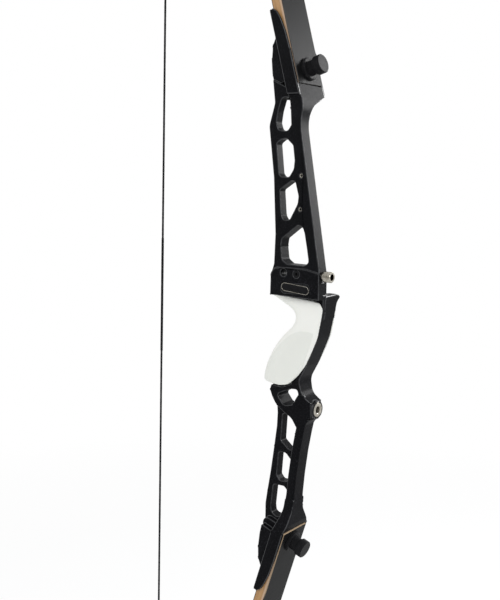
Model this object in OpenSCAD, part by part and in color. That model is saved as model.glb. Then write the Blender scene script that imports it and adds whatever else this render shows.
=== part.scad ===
// Take-down recurve bow, right handed, strung and at rest.
// +X points to the target, +Z up, and +Y to the left of an archer who faces +X.
// The origin is the middle of the stabiliser bushing's mouth.
// Side outlines are lists of [x, z, corner radius], with z counted from the riser's middle.

/* [Bow] */
// Lean of each limb seat from the vertical, in degrees
limb_tilt = 16.6; // [15:0.2:18]
// Butt end of each limb above and below the riser's middle
seat_rise = 245; // [240:0.5:255]
// Face of the limb butts behind the stabiliser bushing's mouth
seat_back = 24; // [22:0.5:26]
// Stabiliser hole below the riser's middle
stab_drop = 101.5; // [100:0.5:103]
// String at rest behind the stabiliser bushing's mouth
string_back = 234; // [228:1:240]
// String nocks above and below the riser's middle
nock_rise = 800; // [790:1:820]

/* [Riser] */
// Width across the two cheeks of a limb pocket
pocket_w = 50; // [49:0.5:52]
// Thickness of the floor that the limb lies on
floor_t = 3; // [2.5:0.5:4]
// Width of the rib behind each pocket floor
rib_w = 36; // [30:1:40]
// Right face of the sight window from the centre plane
window_right = 21; // [20:0.5:22]
// Left face of the sight window from the centre plane, still right of it
window_left = 6; // [4:0.5:8]
// Thickness of the pierced web in both halves
web_t = 11; // [10:0.5:13]
// Depth of the front beam of the upper half, from its front edge
upper_beam = 12; // [11:0.5:13]
// Depth of the front beam of the lower half, from its front edge
lower_beam = 10; // [9:0.5:11]
// Width of the front beam of the lower half
lower_w = 21; // [19:0.5:23]
// Width of the neck in front of the grip
neck_w = 25; // [23:0.5:26]
// Width of the neck's core inside the grip
core_w = 16; // [14:0.5:18]
// Left edge of the arrow shelf from the centre plane
shelf_left = 20; // [17:0.5:22]
// Top of the arrow shelf above the riser's middle
shelf_rise = 25; // [23.5:0.5:26]

/* [Limbs] */
// Width of a limb at its butt
limb_w = 44; // [42:0.5:45]
// Thickness of a limb at its butt
limb_t = 13; // [12:0.25:14]
// Thickness of a limb where the recurve starts
recurve_t = 6; // [5:0.25:7]
// Thickness of a limb at its tip
tip_t = 7; // [6:0.25:8]
// Width of a limb at its tip
tip_w = 17; // [15:0.5:20]
// Thickness of each glass face
glass_t = 1; // [0.8:0.1:1.5]
// Room between a limb and each cheek of its pocket
limb_gap = 0.3; // [0.2:0.05:0.5]
// Height of the limb face over the edges of its pocket
limb_proud = 1.4; // [1:0.1:2]
// Length of a limb from its butt to the place where it bends
bend_at = 185; // [170:1:200]

/* [Limb bolts] */
// Distance from the butt end of a limb to the bolt
bolt_set = 16; // [14:0.5:20]
// Diameter of the bolt's head
head_d = 20; // [18:0.5:22]
// Height of the bolt's head
head_h = 8.4; // [7:0.2:10]
// Diameter of the bolt's collar, between washer and head
collar_d = 16; // [14:0.5:17]
// Top of the head above the limb face
head_top = 19.6; // [18:0.2:21]
// Diameter of the bolt's stud
stud_d = 7.9; // [7:0.1:9]
// Length of the stud below the limb face
stud_l = 28; // [25:0.5:29]
// Diameter of the washer
washer_d = 24.4; // [23:0.2:26]
// Thickness of the washer
washer_t = 3.6; // [3:0.2:5]
// Outer diameter of the threaded insert for the bolt
insert_d = 13; // [12:0.5:14]
// Length of the threaded insert
insert_l = 18; // [14:0.5:20]
// Diameter of the pin that lines each limb up
pin_d = 6; // [5:0.25:7]
// Distance from the butt end of a limb to its pin
pin_set = 52; // [46:1:58]

/* [Bushings] */
// Outer diameter of the stabiliser bushing
bush_d = 16.4; // [15:0.2:17]
// Length of the stabiliser bushing
bush_l = 20; // [18:0.5:22]
// Diameter of the boss round the stabiliser bushing
boss_d = 20; // [19:0.5:22]
// Bore of the stabiliser bushing, at the crest of its thread
thread_d = 6.9; // [6.5:0.1:7.2]
// Depth of that bore
thread_l = 18; // [15:0.5:19]
// Diameter of the sleeve on the front of the window
sleeve_d = 11.2; // [10.5:0.1:12]
// Length of that sleeve in front of the riser
sleeve_l = 11.4; // [10:0.2:13]
// Bore of the sleeve
sleeve_bore = 7; // [6.5:0.1:7.5]
// Height of the sleeve above the riser's middle
sleeve_rise = 46.5; // [45:0.5:47]
// Diameter of the cross hole for a pressure button
button_d = 7.9; // [7:0.1:8.5]
// Diameter of the two small tapped holes for a sight
sight_d = 4.2; // [3.8:0.1:4.6]
// Distance between the two sight holes
sight_step = 35; // [33:0.5:37]

/* [Grip] */
// Thickness of the grip beside the neck, at the throat
grip_wall = 1.4; // [1.2:0.1:2]
// Half width of the grip at the palm
palm_half = 17.5; // [16.5:0.25:19]
// Room between the grip and the neck that it covers
grip_gap = 0.3; // [0.2:0.05:0.5]

/* [String] */
// Diameter of the string
string_d = 2.6; // [2.2:0.1:3]
// Diameter of each strand of a loop
strand_d = 1.8; // [1.6:0.1:2]
// Diameter over the servings
serving_d = 3.2; // [3:0.1:3.6]
// Length of an end serving
end_serving = 110; // [80:5:140]
// Length of the centre serving on each side of the nocking place
centre_serving = 70; // [60:5:100]

/* [Hidden] */
$fn = 64;

PAINT = "#1c1c1f";
GLASS = "#26282b";
WOOD = "#d9a860";
STEEL = "#c9c9c4";
OXIDE = "#141416";
CORD = "#0c0c0d";
SHELL = "#e8eae2";

EPS = 0.02;
RUN = 0.05;
half_pocket = pocket_w / 2;
cheek_in = limb_w / 2 + limb_gap;
beam_half = lower_w / 2;
neck_half = neck_w / 2;
core_half = core_w / 2;
rib_half = rib_w / 2;
web_half = web_t / 2;

// A point of a limb seat: s along the limb from its butt, n out of the limb's face
function seat(s, n, r = 0) = [
    -seat_back - s * sin(limb_tilt) + n * cos(limb_tilt),
    seat_rise + s * cos(limb_tilt) + n * sin(limb_tilt), r];

// Replaces the corners of an outline of [x, z, radius] by arcs of that radius
function unit(v) = v / norm(v);
function corner(a, b, c, r, steps) =
    let (u = unit(a - b), w = unit(c - b), half = acos(max(-1, min(1, u * w))) / 2,
         reach = min(r / tan(half), 0.49 * norm(a - b), 0.49 * norm(c - b)),
         rr = reach * tan(half), mid = b + unit(u + w) * rr / sin(half),
         from = b + u * reach - mid, turn = 180 - 2 * half,
         way = cross(u, w) < 0 ? 1 : -1)
    [for (k = [0:steps]) let (t = way * turn * k / steps)
        mid + [from.x * cos(t) - from.y * sin(t), from.x * sin(t) + from.y * cos(t)]];
function flat(p) = [p.x, p.y];
function rounded(pts, steps = 8) = let (n = len(pts)) [for (i = [0:n - 1])
    let (a = flat(pts[(i + n - 1) % n]), b = flat(pts[i]), c = flat(pts[(i + 1) % n]), r = pts[i][2],
         straight = abs(cross(unit(a - b), unit(c - b))) < 0.002)
    each (r <= 0 || straight) ? [b] : corner(a, b, c, r, steps)];
function backwards(v) = [for (i = [len(v) - 1:-1:0]) v[i]];

// Shapes placed from the riser's middle
module from_middle() translate([0, 0, stab_drop]) children();
module lower_twin() from_middle() mirror([0, 0, 1]) children();
module side_plate(outline, y0, y1)
    translate([0, y1, 0]) rotate([90, 0, 0]) linear_extrude(y1 - y0) polygon(rounded(outline));
module front_plate(outline, x0, x1)
    translate([x0, 0, 0]) rotate([90, 0, 90]) linear_extrude(x1 - x0) polygon(rounded(outline));
// Stands a shape on a limb seat, with Z out of the limb's face
module on_seat(s, n = 0)
    translate([seat(s, n).x, 0, seat(s, n).y]) rotate([0, 90 - limb_tilt, 0]) children();
// A flat slot shape with round ends
module pill(d, l) polygon(rounded([[-l / 2, -d / 2, d / 2], [l / 2, -d / 2, d / 2], [l / 2, d / 2, d / 2],
                                   [-l / 2, d / 2, d / 2]]));
// A round bar from one point to another, and one through a list of points
module bar(a, b, d) {
    v = b - a;
    translate(a) rotate([0, acos(v.z / norm(v)), atan2(v.y, v.x)]) cylinder(h = norm(v), d = d, $fn = 24);
}
module bent_bar(path, d) {
    for (i = [1:len(path) - 1]) bar(path[i - 1], path[i], d);
    for (i = [1:len(path) - 2]) translate(path[i]) sphere(d = d + 0.2, $fn = 24);
}
// A bolt's hexagon socket, cut down from z = 0
module socket(across, deep) translate([0, 0, -deep]) cylinder(d = across / cos(30), h = deep + 1, $fn = 6);

// Points below are drawn for a rise of 245 and move with the seats
function high(pts) = [for (p = pts) [p.x, p.y * seat_rise / 245, p[2]]];
function flipped(pts) = [for (p = pts) [p.x, -p.y, p[2]]];
function behind(p, d) = [p.x - d, p.y, p[2]];

// Front edges, from the pocket shoulders towards the grip, and the back edges of the two beams
shoulder_front = [seat(-23, -1.2, 34), seat(-41, -9.7, 60)];
upper_front = concat(shoulder_front, [[8.4, 50, 30], [9.3, 22, 0]]);
upper_back = [behind([9.3, 22, 0], upper_beam), behind([8.4, 50, 30], upper_beam),
              behind(seat(-41, -9.7, 30), upper_beam), seat(-9, -15)];
neck_front = [[9.3, 26, 0], [9.2, 8, 30], [3.6, -21, 40], [-9, -52, 30], [-18.5, -70, 14],
              [-14.5, -86, 14], [-3, -93, 2], [-2, -stab_drop - 9, 2]];
lower_front = high([[-10, -118, 10], [-12.4, -130, 20], [-16.2, -152, 60], [-19.6, -180, 60],
                    [-21.4, -203, 30]]);
lower_shoulder = concat(high([[-21.8, -218, 12]]), flipped([seat(-8, -1.1, 12), seat(0, -limb_proud)]));
lower_back = concat(flipped([seat(-9, -15)]), [for (p = backwards(lower_front)) behind(p, lower_beam)]);

// Outlines of the four windows in the upper web and the four in the lower web
upper_windows = [
    high([[-46, 231, 5], [-35, 230.5, 3], [-32.6, 224, 5], [-33.2, 203, 6], [-38, 196, 5], [-49.5, 197.5, 4],
          [-52.3, 205, 6], [-50.5, 217, 20]]),
    high([[-51.2, 183.5, 3], [-45.5, 187.5, 4], [-38.5, 188.5, 4], [-30.3, 181.5, 4], [-27.8, 166, 10],
          [-28.6, 157, 8], [-34, 148.6, 4], [-44, 148.6, 4], [-47, 152, 4]]),
    high([[-45.2, 135, 3], [-30.5, 144.6, 3], [-26, 144.2, 3], [-21.3, 129, 10], [-22.2, 121, 8],
          [-31.5, 104, 4], [-39, 103, 4], [-42.3, 108, 3]]),
    [[-20.8, 98.5, 3], [-40.6, 83.4, 3], [-41.8, 75, 3], [-39.6, 61, 5], [-33, 56.8, 4], [-11, 56.8, 4],
     [-6, 60, 4], [-6.5, 66, 6], [-12.8, 94, 4], [-16.5, 98, 3]]];
lower_windows = [
    [[-48.5, -90.5, 3], [-35, -83.8, 6], [-28, -81, 4], [-21, -80.4, 3], [-19.2, -86, 4], [-27.3, -98.6, 4],
     [-36.5, -101.2, 3], [-40, -100, 3]],
    high([[-42.8, -112, 3], [-34.5, -113, 4], [-26, -121, 6], [-23, -129, 8], [-24, -137, 8],
          [-27.5, -151.5, 3], [-33, -152.5, 3], [-44.2, -144, 3]]),
    high([[-46.6, -157.5, 3], [-37, -157.5, 5], [-30, -164, 5], [-28.4, -170, 6], [-29.3, -184, 4],
          [-35, -190, 4], [-44, -191, 4], [-48.4, -186, 3]]),
    high([[-52.6, -197.5, 3], [-38, -196.5, 4], [-32.4, -202, 5], [-32.6, -208, 8], [-36, -219, 10],
          [-41, -232, 4], [-47, -235, 4], [-54, -231, 4], [-55, -224, 6]])];

// Belly edges of the two webs
upper_belly = [[-53.6, 22, 0], [-53.4, 45, 4], [-50.2, 56, 8], [-49.6, 88, 40], [-53.8, 148, 40],
               seat(-30.5, -48.5, 14), seat(-10, -35.5, 12), seat(14, -32)];
lower_belly = concat(flipped([seat(16, -33), seat(4, -39.5, 8), seat(-10, -44, 12), seat(-26, -46.5, 12)]),
                     [[-57.5, -184, 60], [-53.4, -152, 40], [-50.6, -128, 20], [-50.2, -113, 10], [-51.4, -101, 6],
                      [-55, -93.8, 10], [-58.2, -86.5, 5], [-56.4, -80.8, 1.5]]);

// Outlines of a pocket's cheeks, floor, end block and rib
floor_edge = -limb_t - floor_t;
cheek = [seat(-12, floor_edge), seat(-12, -1.2), seat(36, -1.2, 40), seat(56, -2.2, 40), seat(70, -4.6, 20),
         seat(78, -7.2, 4), seat(82.5, -11, 2.5), seat(82.5, floor_edge, 2)];
floor_plate = [seat(-12, floor_edge), seat(-12, -limb_t), seat(79, -limb_t, 1), seat(79, floor_edge, 1)];
rib = [seat(8, -limb_t), seat(62, -limb_t), seat(62, -16, 2), seat(57, -19, 10), seat(49, -25.5, 12),
       seat(36, -30, 20), seat(20, -33, 20), seat(8, -34, 2)];
function rib_root(s, n) = [seat(s, -limb_t), seat(57, -limb_t), seat(48.5, -25, 12), seat(36, -29.5, 20),
                           seat(20, -32.5, 20), seat(s, n, 7)];

// A pocket and the shoulder below it, which narrows to the beam between a right and a left half outline.
// The root of its rib starts at a given place along the limb, and is so deep there.
module pocket(shoulder, right, left, root_at, root_deep) {
    intersection() {
        union() {
            for (side = [-1, 1])
                side_plate(cheek, side > 0 ? cheek_in : -half_pocket, side > 0 ? half_pocket : -cheek_in);
            side_plate(floor_plate, -half_pocket, half_pocket);
            side_plate(shoulder, -half_pocket, half_pocket);
        }
        front_plate(concat([for (p = right) [-p.x, p.y, p[2]]],
                           [[-half_pocket, seat_rise + 120, 0], [half_pocket, seat_rise + 120, 0]],
                           backwards(left)), -80, 20);
    }
    side_plate(rib, -rib_half, rib_half);
    side_plate(rib_root(root_at, -root_deep), -rib_half + 6, rib_half - 6);
}

// Half of a front outline that widens from y to the pocket's width along an arc of radius r, from height z
function widening(y, z, r) = let (to = min(half_pocket, y + r), end = acos((y + r - to) / r))
    concat([[y, z - 8, 0]], [for (k = [0:12]) [y + r - r * cos(end * k / 12), z + r * sin(end * k / 12), 0]],
           to < half_pocket ? [[half_pocket, z + r * sin(end), 3]] : []);

upper_web = concat([seat(-10, -4)], upper_front, upper_belly);
module upper_frame() {
    side_plate(concat([seat(0, -limb_proud)], upper_front, upper_back), -window_right, -window_left);
    difference() {
        union() {
            side_plate(upper_web, -window_right, -window_right + web_t);
            // Round the lowest window the web is as thick as the beam
            intersection() {
                side_plate(upper_web, -window_right, -window_left);
                side_plate([[-70, 40, 0], [-70, 82, 0], [-46, 82, 6], [-20, 101, 6], [9, 101, 0], [9, 40, 0]],
                           -window_right, -window_left);
            }
        }
        for (w = upper_windows) side_plate(w, -window_right - 1, -window_left + 1);
    }
    side_plate([[9.3, 22, 0], [8.5, 50, 2], [-8, 53, 10], [-49, 52, 8], [-53.6, 44, 5], [-53.6, 22, 1]],
               -window_right - 1, -window_left);
    pocket(concat([seat(0, -limb_proud)], shoulder_front, [behind(seat(-41, -9.7), upper_beam),
                  seat(-12, floor_edge), seat(0, floor_edge)]),
           widening(window_right, seat_rise - 16, 5),
           [[-window_left, seat_rise - 50, 0], [-window_left, seat_rise - 25, 20],
            [half_pocket, seat_rise - 11.2, 6.5]],
           -8, 34);
}

// The arrow shelf reaches over to the left, with a tray behind it, above the grip
grip_top = 21.4;
shelf_edge = [[-window_left - 2, shelf_rise, 0], [shelf_left - 4, shelf_rise, 4], [shelf_left, shelf_rise - 3, 1]];
shelf_front = concat(shelf_edge, [[shelf_left - 5, shelf_rise - 9.5, 6], [neck_half, 6, 8], [neck_half, 0, 0],
                                  [-window_left - 2, 0, 0]]);
module shelf() {
    intersection() {
        front_plate(shelf_front, -5, 15);
        side_plate([[0, -2, 0], [8.4, -2, 0], [9.2, 8, 30], [9.4, 20, 4], [10.4, shelf_rise, 1.5],
                    [0, shelf_rise, 0]], -20, 30);
    }
    front_plate(concat(shelf_edge, [[shelf_left - 1.5, grip_top + 0.3, 1], [-window_left - 2, grip_top + 0.3, 0]]),
                -44, 4);
}

// The neck has a wide flange in front and a narrower core behind it, inside the grip
neck_back = [[-16, -stab_drop - 9, 0], [-27, -86, 6], [-28.5, -72, 10], [-20, -58, 20], [-7, -25, 40],
             [-1, -2, 30], [0, 26, 0]];
neck_core = [[2, 26, 0], [2, -2, 0], [-6, -25, 0], [-14, -50, 0], [-26, -80, 0], [-54, -86, 0], [-56, -76, 2],
             [-51, -56, 20], [-42, -36, 30], [-30, -16, 20], [-24.5, -6, 14], [-24.5, 5, 12], [-33, 15, 8],
             [-48, 23, 0]];
module neck() {
    waist = [[neck_half, -70, 20], [beam_half, -94, 20], [beam_half, -stab_drop - 14, 0]];
    intersection() {
        side_plate(concat(neck_front, neck_back), -neck_half, neck_half);
        front_plate(concat([[neck_half, 26, 0]], waist, [for (p = backwards(waist)) [-p.x, p.y, p[2]]],
                           [[-neck_half, 26, 0]]), -70, 20);
    }
    side_plate(neck_core, -core_half, core_half);
}

// Round the lower half's highest window the riser is as wide as its beam
heel = [[-22, -70, 0], [-17, -86, 0], [-8, -95, 0], [-8, -112, 0], [-18, -128, 0], [-22.4, -122, 10],
        [-28, -114.2, 14], [-37, -110, 20], [-48, -103, 4], [-51, -100, 6], [-55, -93.8, 10], [-58.2, -86.5, 5],
        [-56.4, -80.8, 1.5], [-42, -81, 14], [-31, -76.5, 10], [-24, -70.5, 0]];
lower_flare = [[beam_half, seat_rise - 40, 0], [beam_half, seat_rise - 24.5, 16], [half_pocket, seat_rise - 1, 3]];
module lower_frame() {
    side_plate(concat([[-16, -stab_drop - 9, 0], [-2, -stab_drop - 9, 2]], lower_front, lower_shoulder, lower_back),
               -beam_half, beam_half);
    difference() {
        side_plate(concat([[-16, -56, 0], [-26, -72, 6], [-22, -88, 6], [-14, -stab_drop - 12, 6]], lower_front,
                          [lower_shoulder[0]], flipped([seat(-10, -6)]), lower_belly,
                          [[-42, -81, 14], [-30, -75.5, 16], [-20, -63, 20]]), -web_half, web_half);
        for (w = lower_windows) side_plate(w, -web_half - 1, web_half + 1);
    }
    side_plate(heel, -beam_half, beam_half);
}

// The boss for the stabiliser bushing runs back into the beam
module boss() rotate([0, 90, 0]) {
    translate([0, 0, -bush_l - 4]) cylinder(d = boss_d, h = bush_l + 3);
    translate([0, 0, -1]) cylinder(d1 = boss_d, d2 = boss_d - 1.6, h = 1);
}

// Places on the riser that take other pieces
sleeve_y = -(window_right + window_left) / 2;
sleeve_face = 8.3;
root_d = 8;
button_place = [-36.5, 47.4];
plug_place = [-20, 47];
sight_place = [-18.4, 150.4];
pin_in = 6;
pin_out = 5;
screw_d = 4;
screw_seat = 10.5;
screw_places = [[-13, -16], [-33, -58]];

module across(place, d, y0, y1) translate([place.x, y0, place.y]) rotate([-90, 0, 0]) cylinder(d = d, h = y1 - y0);
module forward(d, x0, x1, height) translate([x0, sleeve_y, height]) rotate([0, 90, 0]) cylinder(d = d, h = x1 - x0);

module riser() color(PAINT) difference() {
    union() {
        from_middle() {
            upper_frame();
            shelf();
            neck();
            lower_frame();
        }
        lower_twin() pocket(
            [seat(0, -limb_proud), seat(-8, -1.1, 12), [-21.8, seat_rise - 27, 12], [-21.5, seat_rise - 36, 0],
             [-33, seat_rise - 36, 0], seat(-12, floor_edge), seat(0, floor_edge)],
            lower_flare, lower_flare, 0, 39.5);
        boss();
    }
    rotate([0, 90, 0]) translate([0, 0, -bush_l]) cylinder(d = bush_d, h = bush_l + 1);
    from_middle() {
        side_plate(lower_windows[0], -neck_half - 1, neck_half + 1);
        forward(root_d, sleeve_face - 10, 20, sleeve_rise);
        forward(sleeve_d + 1.2, sleeve_face, 20, sleeve_rise);
        across(button_place, button_d, -30, 0);
        across(plug_place, button_d, -30, 0);
        for (k = [0, 1]) across(sight_place - [0, k * sight_step], sight_d, -30, 0);
        for (p = screw_places) across(p, screw_d, 1, 20);
        // The oval for a badge is a bare shallow groove
        translate([-21, -window_right - 0.4, 31.5]) rotate([90, -4, 0]) linear_extrude(2) difference() {
            pill(9.4, 36);
            pill(8, 34.6);
        }
    }
    for (m = [0, 1]) from_middle() mirror([0, 0, m]) {
        on_seat(bolt_set, -limb_t - insert_l) cylinder(d = insert_d, h = insert_l + 1);
        on_seat(pin_set, -limb_t - pin_in) cylinder(d = pin_d, h = pin_in + 1);
    }
}

module stabiliser_bushing() color(STEEL) rotate([0, 90, 0]) translate([0, 0, -bush_l]) difference() {
    cylinder(d = bush_d - 2 * RUN, h = bush_l);
    translate([0, 0, bush_l - thread_l]) cylinder(d = thread_d, h = thread_l + 1);
}

module front_sleeve() color(STEEL) from_middle() difference() {
    union() {
        forward(root_d - 2 * RUN, sleeve_face - 9.8, sleeve_face + 1, sleeve_rise);
        forward(sleeve_d - 1.2, sleeve_face, sleeve_face + 1.4, sleeve_rise);
        forward(sleeve_d, sleeve_face + 1.4, sleeve_face + sleeve_l - 0.6, sleeve_rise);
        forward(sleeve_d - 0.8, sleeve_face + 1, sleeve_face + sleeve_l, sleeve_rise);
    }
    forward(sleeve_bore, sleeve_face + 0.6, sleeve_face + sleeve_l + 1, sleeve_rise);
}

module button_hole_plug() color(OXIDE) from_middle() difference() {
    across(plug_place, button_d - 2 * RUN, -window_right - 0.7, -window_left - 0.3);
    translate([plug_place.x, -window_right - 0.7, plug_place.y]) rotate([90, 0, 0]) socket(3, 3);
}

module bolt_inserts() color(STEEL) for (m = [0, 1]) from_middle() mirror([0, 0, m])
    on_seat(bolt_set, -limb_t - insert_l) difference() {
        cylinder(d = insert_d - 2 * RUN, h = insert_l);
        translate([0, 0, -1]) cylinder(d = stud_d + 2 * RUN, h = insert_l + 2);
    }

module locating_pins() color(STEEL) for (m = [0, 1]) from_middle() mirror([0, 0, m])
    on_seat(pin_set, -limb_t - pin_in) {
        cylinder(d = pin_d - 2 * RUN, h = pin_in + pin_out - 1);
        translate([0, 0, pin_in + pin_out - 1]) cylinder(d1 = pin_d - 2 * RUN, d2 = pin_d - 1.6, h = 1);
    }

// The bolt and its washer, drawn on the limb face with Z up out of it
module limb_bolt() color(OXIDE) {
    translate([0, 0, -stud_l]) cylinder(d = stud_d, h = head_top - head_h + stud_l + 1);
    translate([0, 0, washer_t + RUN]) cylinder(d = collar_d, h = head_top - head_h - washer_t);
    translate([0, 0, head_top - head_h]) {
        cylinder(d1 = head_d - 1.6, d2 = head_d, h = 0.8);
        translate([0, 0, 0.8]) cylinder(d = head_d, h = head_h - 1.6);
        translate([0, 0, head_h - 0.8]) cylinder(d1 = head_d, d2 = head_d - 1.6, h = 0.8);
    }
}
module washer() color(OXIDE) difference() {
    union() {
        translate([0, 0, RUN]) cylinder(d = washer_d, h = washer_t - 1.2);
        translate([0, 0, washer_t - 1.2]) cylinder(d1 = washer_d, d2 = washer_d - 2.4, h = 1.2 - EPS);
    }
    translate([0, 0, -1]) cylinder(d = stud_d + 2 * RUN, h = washer_t + 2);
}
module upper_limb_bolt() from_middle() on_seat(bolt_set) limb_bolt();
module lower_limb_bolt() lower_twin() on_seat(bolt_set) limb_bolt();
module upper_washer() from_middle() on_seat(bolt_set) washer();
module lower_washer() lower_twin() on_seat(bolt_set) washer();

// Grip: level sections, each with straight sides in front and a rounded belly behind
grip_belly = [[-68, 22], [-59, 17.8], [-46.5, 12.2], [-34.6, 6], [-30.4, -2], [-34, -12], [-45, -23],
              [-55.6, -36], [-64, -51], [-69.4, -65], [-72.6, -81]];
function smooth4(p, q, r, s, t) = 0.5 * (2 * q + (r - p) * t + (2 * p - 5 * q + 4 * r - s) * pow(t, 2)
                                         + (3 * q - p - 3 * r + s) * pow(t, 3));
function on_line(pts, u) = let (n = len(pts) - 1, k = min(n - 1, floor(u * n)), t = u * n - k)
    smooth4(pts[max(0, k - 1)], pts[k], pts[k + 1], pts[min(n, k + 2)], t);
throat_half = neck_half + grip_gap + grip_wall;
function grip_half(z) = throat_half + (palm_half - throat_half) * exp(-pow((z + 48) / 26, 2)) + (z < -48 ? 0.2 : 0);
function grip_front(z) = 9 - pow(max(0, 12 - z) / 14.2, 2);
function grip_ring(u) = let (b = on_line(grip_belly, u), z = b.y, w = grip_half(z), f = grip_front(z),
                             x0 = min(-8, (b.x + 8) / 2 + 2), a = x0 - b.x,
                             lip = [for (k = [0:5]) [f + (x0 - f) * k / 6,
                                                     throat_half + (w - throat_half) * sin(15 * k), z]])
    concat([[f + 12, -throat_half, z]], [for (p = lip) [p.x, -p.y, z]], [for (k = [0:24]) let (t = -90 - 180 * k / 24)
        [x0 + a * sign(cos(t)) * pow(abs(cos(t)), 0.87), w * sign(sin(t)) * pow(abs(sin(t)), 0.87), z]],
        backwards(lip), [[f + 12, throat_half, z]]);
grip_side = [[9.6, 12, 6], [8.8, 4, 30], [4.6, -19.8, 40], [-1.3, -34.5, 40], [-9.3, -51.8, 40],
             [-18, -63.8, 30], [-25, -71, 20], [-33, -76.5, 14], [-43, -78.6, 20], [-64, -78.2, 20], [-71.8, -75, 3],
             [-90, -60, 0], [-74, grip_top, 0], [-40, grip_top, 0], [-4, grip_top - 2, 6], [6, 18, 4]];
module grip() color(SHELL) from_middle() difference() {
    intersection() {
        rings = [for (k = [0:40]) grip_ring(k / 40)];
        n = len(rings[0]);
        polyhedron(concat([for (r = rings) each r]), concat([[for (i = [0:n - 1]) i]],
            [for (k = [0:39]) for (i = [0:n - 1]) [k * n + i, (k + 1) * n + i, (k + 1) * n + (i + 1) % n,
                                                  k * n + (i + 1) % n]],
            [[for (i = [n - 1:-1:0]) 40 * n + i]]), convexity = 6);
        side_plate(grip_side, -30, 30);
    }
    translate([0, neck_half + grip_gap, 0]) rotate([90, 0, 0]) linear_extrude(neck_w + 2 * grip_gap)
        offset(delta = grip_gap) polygon(rounded(concat([[40, 26, 0], [40, -stab_drop, 0]], neck_back)));
    translate([-grip_gap, 0, 0]) rotate([90, 0, 90]) linear_extrude(20)
        offset(delta = grip_gap) polygon(rounded(shelf_front));
    translate([0, core_half + grip_gap, 0]) rotate([90, 0, 0]) linear_extrude(core_w + 2 * grip_gap)
        offset(delta = grip_gap) polygon(rounded(neck_core));
    for (p = screw_places) {
        across(p, screw_d + 0.4, 0, 30);
        across(p, 7.6, screw_seat, 30);
    }
}
module grip_screws() color(OXIDE) from_middle() for (p = screw_places) difference() {
    union() {
        across(p, screw_d - 2 * RUN, 2, screw_seat + 1);
        across(p, 7, screw_seat, screw_seat + 2.2);
    }
    translate([p.x, screw_seat + 2.2, p.y]) rotate([-90, 0, 0]) socket(2.5, 1.6);
}

// A limb: its back face runs straight to the end of the pocket and on along two curves, at heights from
// the riser's middle. t counts -1 at the butt, 0 and 1 at the starts of the curves, 2 at the tip.
straight_l = 110;
belly_x = serving_d / 2 + 0.4 - string_back;
recurve_x = belly_x + recurve_t;
bend_curve = [seat(straight_l, 0), seat(straight_l + 150, 0), [recurve_x, nock_rise - 210], [recurve_x, nock_rise - 65]];
tip_curve = [[recurve_x, nock_rise - 65], [recurve_x, nock_rise - 35], [recurve_x + 3, nock_rise - 5],
             [recurve_x + 7, nock_rise + 22]];
function bezier(c, t) = flat(c[0]) * pow(1 - t, 3) + flat(c[1]) * 3 * t * pow(1 - t, 2)
                        + flat(c[2]) * 3 * pow(t, 2) * (1 - t) + flat(c[3]) * pow(t, 3);
function limb_back(t) = t < 0 ? flat(seat((1 + t) * straight_l, 0)) : t < 1 ? bezier(bend_curve, t)
                        : bezier(tip_curve, t - 1);
function limb_way(t) = unit(limb_back(min(2, t + 0.004)) - limb_back(min(2, t + 0.004) - 0.008));
function limb_thick(t) = t < 0 ? limb_t : t < 1 ? limb_t + (recurve_t - limb_t) * t * (2 - t)
                         : recurve_t + (tip_t - recurve_t) * (t - 1);
function limb_point(t, depth) = let (w = limb_way(t)) limb_back(t) - depth * [w.y, -w.x];
// Depths below the back face: 0 the face, 1 under the back glass, 2 over the belly glass, 3 the belly
function layer(t, k) = [0, glass_t, limb_thick(t) - glass_t, limb_thick(t)][k];
function steps(t0, t1) = concat([t0], [for (k = [-1:40]) let (t = k < 0 ? -0.001 : k / 20) if (t > t0 + 0.01 && t < t1 - 0.01) t],
                                [t1]);

// Where a limb bends: the share of the first curve that ends at the set length
function curve_length(t) = let (n = 16)
    [for (k = [1:n]) norm(bezier(bend_curve, t * k / n) - bezier(bend_curve, t * (k - 1) / n))] * [for (k = [1:n]) 1];
function share(l, lo = 0, hi = 1, n = 14) = let (m = (lo + hi) / 2)
    n == 0 ? m : curve_length(m) < l ? share(l, m, hi, n - 1) : share(l, lo, m, n - 1);
bend_t = share(bend_at - straight_l);
after_bend = share(bend_at - straight_l + 0.3);

// The width of a limb over its height
limb_plan = [[-limb_w / 2, 200, 0], [-limb_w / 2, 350, 60], [-11, nock_rise - 65, 60], [-tip_w / 2, nock_rise - 10, 20],
             [-tip_w / 2 + 0.5, nock_rise + 23, 7]];
module limb_layer(t0, t1, from, to) intersection() {
    ts = steps(t0, t1);
    translate([0, limb_w / 2, 0]) rotate([90, 0, 0]) linear_extrude(limb_w)
        polygon(concat([for (t = ts) limb_point(t, from < 0 ? -2.4 : layer(t, from))],
                       backwards([for (t = ts) limb_point(t, layer(t, to))])));
    front_plate(concat(limb_plan, [for (p = backwards(limb_plan)) [-p.x, p.y, p[2]]]), -260, 20);
}

// The butt of a limb has a hole for the bolt and a blind one for the pin
module butt_layer(from, to) difference() {
    limb_layer(limb_gap / straight_l - 1, bend_t, from, to);
    on_seat(bolt_set, -limb_t - 5) cylinder(d = stud_d + 1, h = limb_t + 10);
    on_seat(pin_set, -limb_t - 1) cylinder(d = pin_d, h = pin_out + 1.4);
}

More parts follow.
